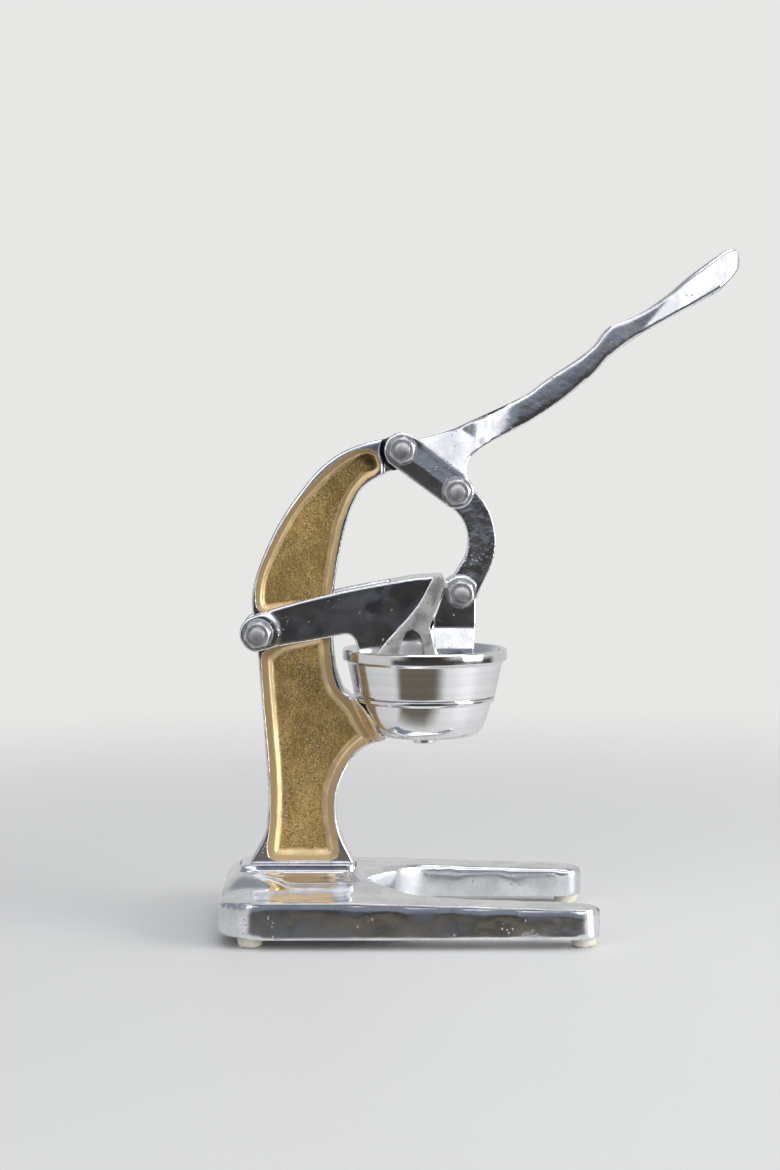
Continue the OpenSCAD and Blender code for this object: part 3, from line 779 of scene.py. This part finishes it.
class PRESS_OT_base(PieceOperator, bpy.types.Operator):
    """Polished base with soft edges"""
    bl_idname = "press.base"
    bl_label = "Base"

    def execute(self, context):
        sizes, finishes = self.settings()
        cell = sizes.base_cell
        piece = skin("base_casting", "base", cell)
        mesh = piece.data
        z = points_of(mesh)[:, 2]
        top_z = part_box("base")[1].z
        crisp_top = ramp(z, top_z - 5.6 * MM, top_z - 4.1 * MM)
        above_foot = ramp(z, 8 * MM, 12 * MM)
        soften(mesh, 2.4 * MM, cell, (1 - 0.88 * crisp_top) * (0.3 + 0.7 * above_foot))
        rear_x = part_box("base")[0].x
        soften(mesh, 2.8 * MM, cell, ramp(points_of(mesh)[:, 0] - rear_x, 24 * MM, 14 * MM))
        self.crown(mesh)
        self.lean(mesh)
        smooth(mesh)
        material = polished_casting("polished_base", finishes, patch=26 * MM, dent=0.11 * MM,
                                    dent_size=12 * MM, wave=0.36 * MM, pit_share=0.62, rough=0.0)
        dress(piece, "frame", "polished_casting", material, "base")
        return {"FINISHED"}

    @staticmethod
    def crown(mesh):
        """Raises the top plate a little towards the plinth."""
        rise, plinth_z = 2.2 * MM, 34
        co = points_of(mesh)
        x, y, z = from_cup(co)
        plate = ramp(z, 24, 27) * (z < plinth_z)
        co[:, 2] += rise * plate * ramp(x, 40, 0) * ramp(y, 74, 20)
        set_points(mesh, co)

    @staticmethod
    def lean(mesh):
        """Leans the sides in towards the top, as a casting leaves its mould, and hammers the rear corners."""
        side_lean, plinth_lean, dent = 1.93 * MM, 0.78 * MM, 0.24 * MM
        plate_z, plinth_z, plinth_half = 28 * MM, 31.5 * MM, 24 * MM
        co = points_of(mesh)
        normal = rows_of(mesh.vertices, "normal")
        low = co[:, 2].min()
        up = np.clip((co[:, 2] - low) / (plate_z - low), 0, 1) ** 0.9
        upright = ramp(np.hypot(normal[:, 0], normal[:, 1]), 0.3, 0.7) * (co[:, 2] < plate_z)
        outer = ramp(np.abs(co[:, 1]), 62 * MM, 67 * MM) * (normal[:, 1] * co[:, 1] > 0)
        co[:, :2] -= normal[:, :2] * (side_lean * up * upright * outer)[:, None]

        x, y, z = co[:, 0] - co[:, 0].min(), np.abs(co[:, 1]), co[:, 2]
        corner = ramp(x, 20 * MM, 10 * MM) * ramp(y, 52 * MM, 62 * MM) * (z > low + 3 * MM)
        around = (x + y) / MM + 2.2 * np.sin(z / (5 * MM))
        hammered = (1 + np.sin(around / 1.7) * np.sin(around / 4.1 + z / (9 * MM))) * corner
        co -= normal * (dent * hammered)[:, None]

        plinth = np.clip((co[:, 2] - plinth_z) / (8 * MM), 0, 1) * (np.abs(co[:, 1]) < plinth_half)
        co[:, 1] -= normal[:, 1] * (plinth_lean * plinth * (np.abs(normal[:, 1]) > 0.6))
        set_points(mesh, co)


class PRESS_OT_column(PieceOperator, bpy.types.Operator):
    """Column with polished rims and sunk gold panels"""
    bl_idname = "press.column"
    bl_label = "Column"

    def execute(self, context):
        sizes, finishes = self.settings()
        cell = sizes.casting_cell
        border = sizes.border_width
        piece = skin("column_casting", "column", cell)
        mesh = piece.data
        outline = FlatOutline("column", COLUMN_HALF - PANEL_DEPTH)
        self.sink(mesh, outline, border)
        above_foot = 1 - 0.9 * ramp(points_of(mesh)[:, 2], 50 * MM, 44 * MM)
        soften(mesh, 0.8 * MM, cell, above_foot)
        soften(mesh, 2.2 * MM, cell, self.bracket(points_of(mesh)))
        self.sink(mesh, outline, border)
        soften(mesh, 0.4 * MM, cell, above_foot)
        inset = self.sink(mesh, outline, border)
        co = points_of(mesh)
        y = np.abs(co[:, 1])
        cradle = ramp(y - COLUMN_HALF, 0.3 * MM, 1.1 * MM)
        set_attribute(mesh, "inset", np.maximum(inset, self.bracket(co) * (3.5 - 2.6 * cradle) - 1.5))
        # Painted shade: marks the floor of the slot round the head pin, which the material paints near black.
        ear = ramp(from_pin(co, HEAD_PIN), 13.6 * MM, 13 * MM)
        set_attribute(mesh, "soot", ear * (y < COLUMN_HALF - 0.7 * MM))
        smooth(mesh)
        material = painted_casting("painted_column", finishes, border / MM)
        dress(piece, "frame", "column_casting", material, "column")
        return {"FINISHED"}

    @staticmethod
    def bracket(co):
        """1 on the painted bracket and cradle beside the bowl, and 0 elsewhere."""
        rear_x, rear_z, slope = -49.2, 140.6, 0.664
        x, _, z = from_cup(co)
        edge = rear_x + (rear_z - z) * slope
        return ramp(x - edge, 0, 0.8) * ramp(z, 112.6, 113.2) * ramp(z, 139.6, 138.4)

    @staticmethod
    def sink(mesh, outline, border):
        """Lays the panels on a two-step border and a flat floor with a hollow near its top end; returns how
        far into a panel, in millimetres of a border of the given width, with the hollow's depth added nine
        times over so that the material paints shade there."""
        reach = 12 * MM
        first_step = 0.42
        neck_width = 0.76
        co = points_of(mesh)
        y = np.abs(co[:, 1])
        depth = np.full(len(co), -reach)
        end = HEAD_PIN + Vector((-18 * MM, 0, -7 * MM))
        away = np.hypot((co[:, 0] - end.x) * 0.8 + (co[:, 2] - end.z) * 0.3, co[:, 2] - end.z)
        floor = COLUMN_HALF - PANEL_DEPTH - np.where(away < 12 * MM, 2.6, 0.9) * MM
        near = (y > floor) & (y < COLUMN_HALF + 0.5 * MM)
        depth[near] = outline.depth(co[near], reach)
        width = border * (neck_width + (1 - neck_width) * ramp(co[:, 2], 196 * MM, 180 * MM))
        t = np.clip(depth / width, 0, 1)
        steep = first_step ** 2 + (1 - first_step ** 2) * ramp(t, first_step, 1)
        slope = np.where(t < first_step, t * first_step, steep)
        hollow = 1.7 * MM * np.exp(-(away / (4.8 * MM)) ** 2) * ramp(depth, 0, 4 * MM)
        level = COLUMN_HALF - PANEL_DEPTH * slope - hollow
        rim = np.maximum(y, COLUMN_HALF - 0.5 * MM * ramp(-depth, 0.5 * MM, 1.3 * MM))
        crest = (depth > -1.0 * MM) & (depth <= 0) & (y > COLUMN_HALF - 1.4 * MM)
        y = np.where(depth > 0, level, np.where(crest, rim, y))
        co[:, 1] = np.sign(co[:, 1]) * y
        set_points(mesh, co)
        # The hollow's depth is added to the returned inset so that the material paints shade in the hollow.
        return depth / width * border / MM + hollow / MM * 9


class PRESS_OT_bowl(PieceOperator, bpy.types.Operator):
    """Turned drip bowl under the cup"""
    bl_idname = "press.bowl"
    bl_label = "Bowl"

    def execute(self, context):
        sizes, finishes = self.settings()
        material = turned_aluminium("turned_bowl", finishes.turned, wave=1.2 * MM)
        drain_r, boss_r, corner_r, corner_z, bend = 4.5, 7.2, 27.0, BOWL_Z + 9, 6
        wall = [(30, 0.5), (32.7, 2.0), (34.8, 4.3), (36.4, 7.3), (37.6, 10.4), (38.7, 13.8), (39.8, 17.8),
                (40.5, 20.6)]
        turns = [math.radians(a) for a in range(-16, -91, -6)]
        profile = [(drain_r, BOWL_Z - BOSS_HEIGHT, 0.4), (boss_r, BOWL_Z - BOSS_HEIGHT, 0.8),
                   (boss_r, BOWL_Z, 1.2), (corner_r, BOWL_Z, 0), *[(r, BOWL_Z + z, 0) for r, z in wall],
                   (42.0, SEAM_Z - 3.4, 0.8), (LIP_R, SEAM_Z - 2.4, 0.5), (LIP_R, SEAM_Z - 0.5, 0.5),
                   (SEAT_R, SEAM_Z - 0.5, 0.3), (38.4, SEAM_Z - 4, 0.5),
                   *[(corner_r + bend * math.cos(a), corner_z + bend * math.sin(a), 0) for a in turns],
                   (drain_r, BOWL_Z + 2.4, 0.5)]
        piece = turned("drip_bowl", profile, sizes.turning_steps)
        smooth(piece.data, angle=SHARP_ANGLE)
        dress(piece, "frame", "turned_aluminium", material, "bowl")
        pad = self.screw_pad()
        pad.data.materials.append(material)
        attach(pad, "frame")
        return {"FINISHED"}

    @staticmethod
    def screw_pad():
        """Flat pad on the bowl's inner wall, under the heads of its two screws."""
        head_t = 2.2 * MM
        face_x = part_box("bowl_screws")[1].x - head_t - CUP_AXIS.x
        across = np.linspace(-12 * MM, 12 * MM, 9)
        shell = bmesh.new()
        rows = []
        for z, wall_r in [(3.0, 32.0), (8.0, 36.0), (17.0, 38.6)]:
            level = (BOWL_Z + z) * MM
            row = [Vector((face_x, y, level)) for y in across]
            row += [Vector((-math.sqrt((wall_r * MM) ** 2 - y * y), y, level)) for y in across[::-1]]
            rows.append([shell.verts.new(CUP_AXIS + v) for v in row])
        for low, high in zip(rows, rows[1:]):
            for k in range(len(low)):
                n = (k + 1) % len(low)
                shell.faces.new([low[k], low[n], high[n], high[k]])
        shell.faces.new(rows[0][::-1])
        shell.faces.new(rows[-1])
        return closed_piece("bowl_screw_pad", shell)


class PRESS_OT_strainer(PieceOperator, bpy.types.Operator):
    """Turned strainer cup with a drilled floor"""
    bl_idname = "press.strainer"
    bl_label = "Strainer cup"

    def execute(self, context):
        sizes, finishes = self.settings()
        floor_z = SEAM_Z - 6.8
        floor_t, floor_r, under_r = 2.5, 38.5, 36.4
        dish_r = 66.0
        dish_z = floor_z + dish_r

        def dished(radius, reach):
            """Points of the floor's curve, from its middle out to a reach."""
            end = math.asin(reach / radius)
            return [(radius * math.sin(end * i / 10), dish_z - radius * math.cos(end * i / 10), 0)
                    for i in range(11)]

        inside = dished(dish_r, floor_r)[::-1]
        profile = [*dished(dish_r + floor_t, under_r), (under_r, SEAM_Z - 3.4, 0.3),
                   (SEAT_R, SEAM_Z - 3.4, 0.4), (SEAT_R, SEAM_Z, 0.3), (LIP_R, SEAM_Z, 0.5),
                   (43.1, SEAM_Z + 1.2, 0.6), (47.2, RIM_Z - 8.2, 0.8), (RIM_R - 0.8, RIM_Z - 7.0, 0.4),
                   (RIM_R, RIM_Z - 6.4, 0.5), (RIM_R, RIM_Z - 0.9, 0.6), (RIM_R - 0.9, RIM_Z, 0.5),
                   (47.4, RIM_Z, 0.6), (46.6, RIM_Z - 1.0, 0.6), (44.4, RIM_Z - 10, 1.5),
                   (40.6, inside[0][1] + 2.6, 2.0), *inside]
        material = turned_aluminium("turned_cup", finishes.turned)
        piece = turned("strainer_cup", profile, sizes.turning_steps)
        strainer_tree(material).grow(piece, Centre=CUP_AXIS + Vector((0, 0, floor_z * MM)))
        smooth(piece.data, angle=SHARP_ANGLE)
        dress(piece, "strainer", "turned_aluminium", material, "strainer")
        return {"FINISHED"}


class PRESS_OT_handle(PieceOperator, bpy.types.Operator):
    """Handle with a faceted bar and paddle grip"""
    bl_idname = "press.handle"
    bl_label = "Handle"

    def execute(self, context):
        sizes, finishes = self.settings()
        cell = sizes.casting_cell
        piece = skin("handle_casting", "handle", cell)
        mesh = piece.data
        soften(mesh, 0.6 * MM, cell)
        self.facet(mesh)
        bar = ramp(points_of(mesh)[:, 0] - CRANK_PIN.x, 18 * MM, 38 * MM)
        soften(mesh, 0.7 * MM, cell, 0.5 + 0.5 * bar)
        smooth(mesh)
        material = polished_casting("polished_handle", finishes, patch=13 * MM, dent=0.12 * MM,
                                    dent_size=4.5 * MM, wave=0.40 * MM, pit_share=0.58, rough=0.09)
        dress(piece, "handle", "polished_casting", material, "handle")
        return {"FINISHED"}

    @staticmethod
    def bar_height(along, across):
        """The lower and upper edge of the bar beside each point, as a running mean of 2 mm stations."""
        station, mean_of = 2 * MM, 5
        slot = np.round(along / station).astype(int)
        slot -= slot.min()
        places = (np.arange(slot.max() + 1) + np.round(along.min() / station)) * station
        edges = []
        for start, farther in ((1.0, np.minimum), (-1.0, np.maximum)):
            edge = np.full(slot.max() + 1, start)
            farther.at(edge, slot, across)
            edge = np.convolve(np.pad(edge, mean_of // 2, "edge"), np.ones(mean_of) / mean_of, "valid")
            edges.append(np.interp(along, places, edge))
        return edges

    def facet(self, mesh):
        """Thins the bar towards its upper and lower edges, and ridges the crank arm."""
        co = points_of(mesh)
        x = from_cup(co)[0]
        dx, dz = co[:, 0] - HEAD_PIN.x, co[:, 2] - HEAD_PIN.z
        lean = math.radians(36)
        across = dz * math.cos(lean) - dx * math.sin(lean)
        low, high = self.bar_height(dx * math.cos(lean) + dz * math.sin(lean), across)
        v = 2 * (across - low) / np.maximum(high - low, 1 * MM) - 1
        half_height = (high - low) / 2
        bar = ramp(x, 34, 58)
        paddle = ramp(x, 104, 132)
        crease = 1.85 * ramp(x, 122, 152) - 1.0
        round_bar = 0.04 * np.abs(v) ** 4
        wedge = np.clip(0.68 + 0.27 * np.maximum(crease - v, 0) * half_height / (12 * MM), 0, 1)
        edge = 0.10 * np.clip((np.abs(v) - 0.72) / 0.28, 0, 1) ** 2
        co[:, 1] *= 1 - bar * (round_bar * (1 - paddle) + (1 - wedge + edge) * paddle)

        arm = CRANK_PIN - HEAD_PIN
        length = arm.length
        t = (dx * arm.x + dz * arm.z) / length
        off = (dz * arm.x - dx * arm.z) / length
        ridge = -1.5 * MM
        on_arm = ramp(t, -2 * MM, 6 * MM) * ramp(t - length, 4 * MM, -4 * MM) * ramp(off, 11 * MM, 7 * MM)
        drop = np.minimum(np.where(off > ridge, 0.06, 0.10) * np.abs(off - ridge), 1.0 * MM)
        web = ramp(x, -6, 0) * ramp(x, 42, 26)
        root = ramp(x, 24, 36) * ramp(x, 58, 40)
        slope = 0.25 * (np.clip(off - 8 * MM, 0, 24 * MM) * web + (v + 1) * half_height * root)
        push_in(co, (drop * on_arm + slope) * (np.abs(co[:, 1]) > 9 * MM))
        set_points(mesh, co)


class PRESS_OT_link(PieceOperator, bpy.types.Operator):
    """Curved link between the crank and the press arm"""
    bl_idname = "press.link"
    bl_label = "Link"

    def execute(self, context):
        sizes, finishes = self.settings()
        piece = skin("link_casting", "link", sizes.link_cell)
        soften(piece.data, 0.9 * MM, sizes.link_cell)
        smooth(piece.data)
        material = polished_casting("polished_link", finishes, patch=9 * MM, dent=0.28 * MM,
                                    dent_size=4.5 * MM, pit_share=0.57, rough=0.09)
        dress(piece, "link", "polished_casting", material, "link")
        return {"FINISHED"}


class PRESS_OT_arm(PieceOperator, bpy.types.Operator):
    """Press arm with ground ribs and its plunger"""
    bl_idname = "press.arm"
    bl_label = "Press arm"

    def execute(self, context):
        sizes, finishes = self.settings()
        piece = skin("press_arm_casting", "press_arm", sizes.casting_cell)
        mesh = piece.data
        below_washers = 1.0 * MM
        rib_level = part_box("arm_washers")[1].y - below_washers
        outline = FlatOutline("press_arm", rib_level)
        soften(mesh, 0.8 * MM, sizes.casting_cell)
        co = points_of(mesh)
        self.dish(co)
        self.flare(co)
        rib = self.raise_ribs(co, outline, rib_level, sizes.rib_rise)
        set_points(mesh, co)
        set_attribute(mesh, "rib", rib)
        smooth(mesh)
        dress(piece, "press", "polished_casting", ribbed_casting("polished_press_arm", finishes), "press_arm")
        return {"FINISHED"}

    @staticmethod
    def dish(co):
        """Sinks the arm's sides round the eye of its rear pivot."""
        away = from_pin(co, ARM_PIN) / MM
        groove = ramp(away, 10.5, 15) * ramp(away, 56, 16)
        push_in(co, 1.1 * MM * groove * (np.abs(co[:, 1]) > COLUMN_HALF + 2 * MM))

    @staticmethod
    def flare(co):
        """Widens the fork's block towards the plunger."""
        x, y, z = from_cup(co)
        drop = np.clip(RIM_Z + 13 - z, 0, 12) * (z > RIM_Z - 3)
        push_in(co, -0.32 * MM * drop * ramp(x, 3, 7) * (y > 10) * (y < 15))

    @staticmethod
    def raise_ribs(co, outline, level, rise):
        """Gives the ribs above the plunger a crisp edge; returns 1 on a rib's face and 0 off it."""
        y = np.abs(co[:, 1])
        near = (np.abs(y - level + 0.6 * MM) < 1.0 * MM) & (co[:, 2] > (RIM_Z - 7) * MM)
        depth = np.full(len(co), -1.0 * MM)
        depth[near] = outline.depth(co[near], 2 * MM)
        on_rib = ramp(depth, -0.3 * MM, 0.3 * MM) * near
        raised = np.minimum(y + rise * on_rib, level - rise * (1 - on_rib))
        push_in(co, (y - raised) * near)
        return on_rib


class PRESS_OT_pivots(PieceOperator, bpy.types.Operator):
    """Nuts, washers and bolts of the four pivots"""
    bl_idname = "press.pivots"
    bl_label = "Pivot fasteners"

    def execute(self, context):
        material = zinc_plate("zinc_plate", self.settings()[1].zinc)
        tree = fastener_tree(material)
        pivots = {"head": ("frame", HEAD_PIN, 20), "crank": ("handle", CRANK_PIN, 8),
                  "link": ("press", FORK_PIN, 40), "arm": ("frame", ARM_PIN, 12)}
        for name, (body, pin, turn) in pivots.items():
            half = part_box(name + "_washers")[1].y - WASHER_T
            piece = new_piece(name + "_fastener", bpy.data.meshes.new(name))
            tree.grow(piece, Place=pin, Half_width=half, Turn=math.radians(turn))
            smooth(piece.data, angle=30)
            bevel = piece.modifiers.new("Worn edges", "BEVEL")
            bevel.width = 0.25 * MM
            bevel.segments = 2
            bevel.limit_method = "ANGLE"
            bevel.angle_limit = math.radians(25)
            dress(piece, body, "zinc_fastener", material, name + "_bolt", name + "_nut", name + "_washers")
        for node in ["foot_screws", "column_bolts", "column_washers", "bowl_screws"]:
            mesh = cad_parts[node].data
            mesh.materials.clear()
            mesh.materials.append(material)
        return {"FINISHED"}


class PRESS_OT_feet(PieceOperator, bpy.types.Operator):
    """Four cream rubber feet"""
    bl_idname = "press.feet"
    bl_label = "Feet"

    def execute(self, context):
        nodes = ["foot_rear_left", "foot_rear_right", "foot_front_left", "foot_front_right"]
        material = moulded_rubber("moulded_rubber", self.settings()[1].rubber)
        profile = [(2.1, 2.6, 0.2), (3.3, 2.6, 0.2), (3.3, 0, 0.3), (5.4, 0, 0.8), (6.9, 1.2, 1.2),
                   (7.8, 6, 0.3), (2.1, 6, 0.2)]
        piece = turned("rubber_feet", profile, steps=72, centre=Vector())
        rear, front = sum(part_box(nodes[0]), Vector()) / 2, sum(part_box(nodes[3]), Vector()) / 2
        feet_tree(material).grow(piece, Centre=Vector(((rear.x + front.x) / 2, 0, 0)),
                                 Distance_along=abs(front.x - rear.x), Distance_across=abs(front.y - rear.y))
        smooth(piece.data, angle=40)
        dress(piece, "frame", "foot_rubber", material, *nodes)
        return {"FINISHED"}


class PRESS_OT_stage(PieceOperator, bpy.types.Operator):
    """Floor, room, lamps and camera"""
    bl_idname = "press.stage"
    bl_label = "Stage"

    def execute(self, context):
        stage = context.scene.press_stage
        self.floor(stage)
        self.room(stage)
        self.lamps()
        self.camera(stage)
        context.scene.view_settings.view_transform = "Standard"
        return {"FINISHED"}

    @staticmethod
    def floor(stage):
        """A pale table that fades out at its rim, with a strip of painted shade in front: a dark glow that
        only reflections see.
        """
        table_r, front_half = 2.2, 0.16
        bpy.ops.mesh.primitive_circle_add(vertices=128, radius=table_r, fill_type="NGON")
        table = bpy.context.object
        table.name = "table"
        f = Finish("pale_table")
        colour = f.mix(f.clouds(3, detail=2), stage.floor, scaled(stage.floor, 0.97))
        f.finish(Base_Color=colour, Roughness=0.55)
        x, y, _ = f.axes(f.place)
        aside = x - (CUP_AXIS.x - 0.005)
        start = (aside * 0.9).largest((-front_half - aside) * 1.7).largest(0) + stage.ground_start
        # Painted shade: for all but camera rays, a dark glow replaces the table in a strip in front.
        strip = (0 - y - start).step(-0.03, 0.10) * (1 - f.camera_ray())
        ground = f.add("ShaderNodeEmission", None, {"Color": stage.ground})
        shader = f.add("ShaderNodeMixShader", None, {0: strip, 1: Wire(f, f.surface.outputs[0]), 2: ground})
        rim = f.vector("LENGTH", f.place, out="Value").step(0.35, 1.25)
        clear = f.add("ShaderNodeBsdfTransparent")
        shader = f.add("ShaderNodeMixShader", None, {0: rim, 1: shader, 2: clear})
        f.plug(f.tree.nodes["Material Output"].inputs["Surface"], shader)
        table.data.materials.append(f.material)

    @staticmethod
    def room(stage):
        """A window high in front, the dark below it, and walls and a ceiling all round. A place in the room
        is a direction of length 1: x to the right, y to the back and z up."""
        warm_front = (0.034, 0.027, 0.018)
        backdrop = (0.80, 0.80, 0.79)
        world = bpy.data.worlds.new("studio")
        bpy.context.scene.world = world
        world.use_nodes = True
        world.node_tree.nodes.clear()
        g = Graph(world.node_tree)
        x, y, z = g.axes(g.add("ShaderNodeTexCoord", out="Generated"))
        forward = 0 - y
        flat = (1.001 - z * z) ** -0.5
        dark = g.mix(x.step(-0.02, 0.03), stage.front, warm_front)
        dark = g.mix(z.step(-0.025, 0.05), dark, stage.haze)
        above = g.mix(forward.step(0.74, 0.95), stage.wall, dark)
        high = g.mix(forward.step(0.35, 0.60), stage.wall, stage.window)
        above = g.mix(z.step(0.20, 0.32), above, high)
        above = g.mix(z.step(0.62, 0.80), above, stage.ceiling)
        gloom = (1 - x.step(-0.75, -0.25)) * z.step(0.05, 0.25)
        above = g.mix(gloom * 0.8, above, stage.haze)
        side = x * flat
        low = side.step(-0.80, -0.68) * (forward * flat + side.largest(0) * 0.5).step(0.05, 0.30)
        below = g.mix(low, stage.wall, stage.shade)
        colour = g.mix(z.step(-0.09, -0.06), below, above)
        colour = g.mix(g.camera_ray(), colour, backdrop)
        background = g.add("ShaderNodeBackground", None, {"Color": colour})
        output = g.tree.nodes.new("ShaderNodeOutputWorld")
        g.plug(output.inputs["Surface"], background)

    @staticmethod
    def lamps():
        target = Vector((0, 0, 0.2))
        boxes = {
            "left_softbox": ((-1.15, -1.4, 0.95), 0.8, 1.2, 2.5),
            "right_softbox": ((1.85, -0.70, 0.60), 1.2, 1.3, 30),
            "top_softbox": ((0.2, -0.2, 1.7), 1.6, 1.0, 8),
        }
        for name, (place, wide, tall, power) in boxes.items():
            lamp = bpy.data.lights.new(name, "AREA")
            lamp.shape = "RECTANGLE"
            lamp.size, lamp.size_y, lamp.energy = wide, tall, power
            holder = bpy.data.objects.new(name, lamp)
            holder.location = place
            holder.rotation_euler = (target - Vector(place)).to_track_quat("-Z", "Y").to_euler()
            bpy.context.scene.collection.objects.link(holder)

    @staticmethod
    def camera(stage):
        aside, distance, height = 31.6 * MM, 1.446, 0.2953
        tilt, turn = math.radians(86.535), math.radians(-0.416)
        lens = bpy.data.cameras.new("camera")
        lens.lens = stage.lens
        lens.clip_end = 20
        holder = bpy.data.objects.new("camera", lens)
        holder.location = (CUP_AXIS.x - aside, -distance, height)
        holder.rotation_euler = (tilt, 0, turn)
        bpy.context.scene.collection.objects.link(holder)
        bpy.context.scene.camera = holder


PIECES = (PRESS_OT_base, PRESS_OT_column, PRESS_OT_bowl, PRESS_OT_strainer, PRESS_OT_handle, PRESS_OT_link,
          PRESS_OT_arm, PRESS_OT_pivots, PRESS_OT_feet, PRESS_OT_stage)


class PRESS_PT_panel(bpy.types.Panel):
    bl_idname = "PRESS_PT_panel"
    bl_label = "Citrus press"
    bl_space_type = "VIEW_3D"
    bl_region_type = "UI"
    bl_category = "Press"

    def draw(self, context):
        for group in (context.scene.press_sizes, context.scene.press_finishes, context.scene.press_stage):
            box = self.layout.box()
            for name in group.__annotations__:
                box.prop(group, name)
        for operator in PIECES:
            self.layout.operator(operator.bl_idname)


GROUPS = {"press_sizes": PressSizes, "press_finishes": PressFinishes, "press_stage": PressStage}


def register():
    for cls in (*GROUPS.values(), *PIECES, PRESS_PT_panel):
        bpy.utils.register_class(cls)
    for name, group in GROUPS.items():
        setattr(bpy.types.Scene, name, bpy.props.PointerProperty(type=group))


def unregister():
    for name in GROUPS:
        delattr(bpy.types.Scene, name)
    for cls in reversed((*GROUPS.values(), *PIECES, PRESS_PT_panel)):
        bpy.utils.unregister_class(cls)


def main():
    register()
    for operator in PIECES:
        group, name = operator.bl_idname.split(".")
        getattr(getattr(bpy.ops, group), name)()


if __name__ == "__main__":
    main()
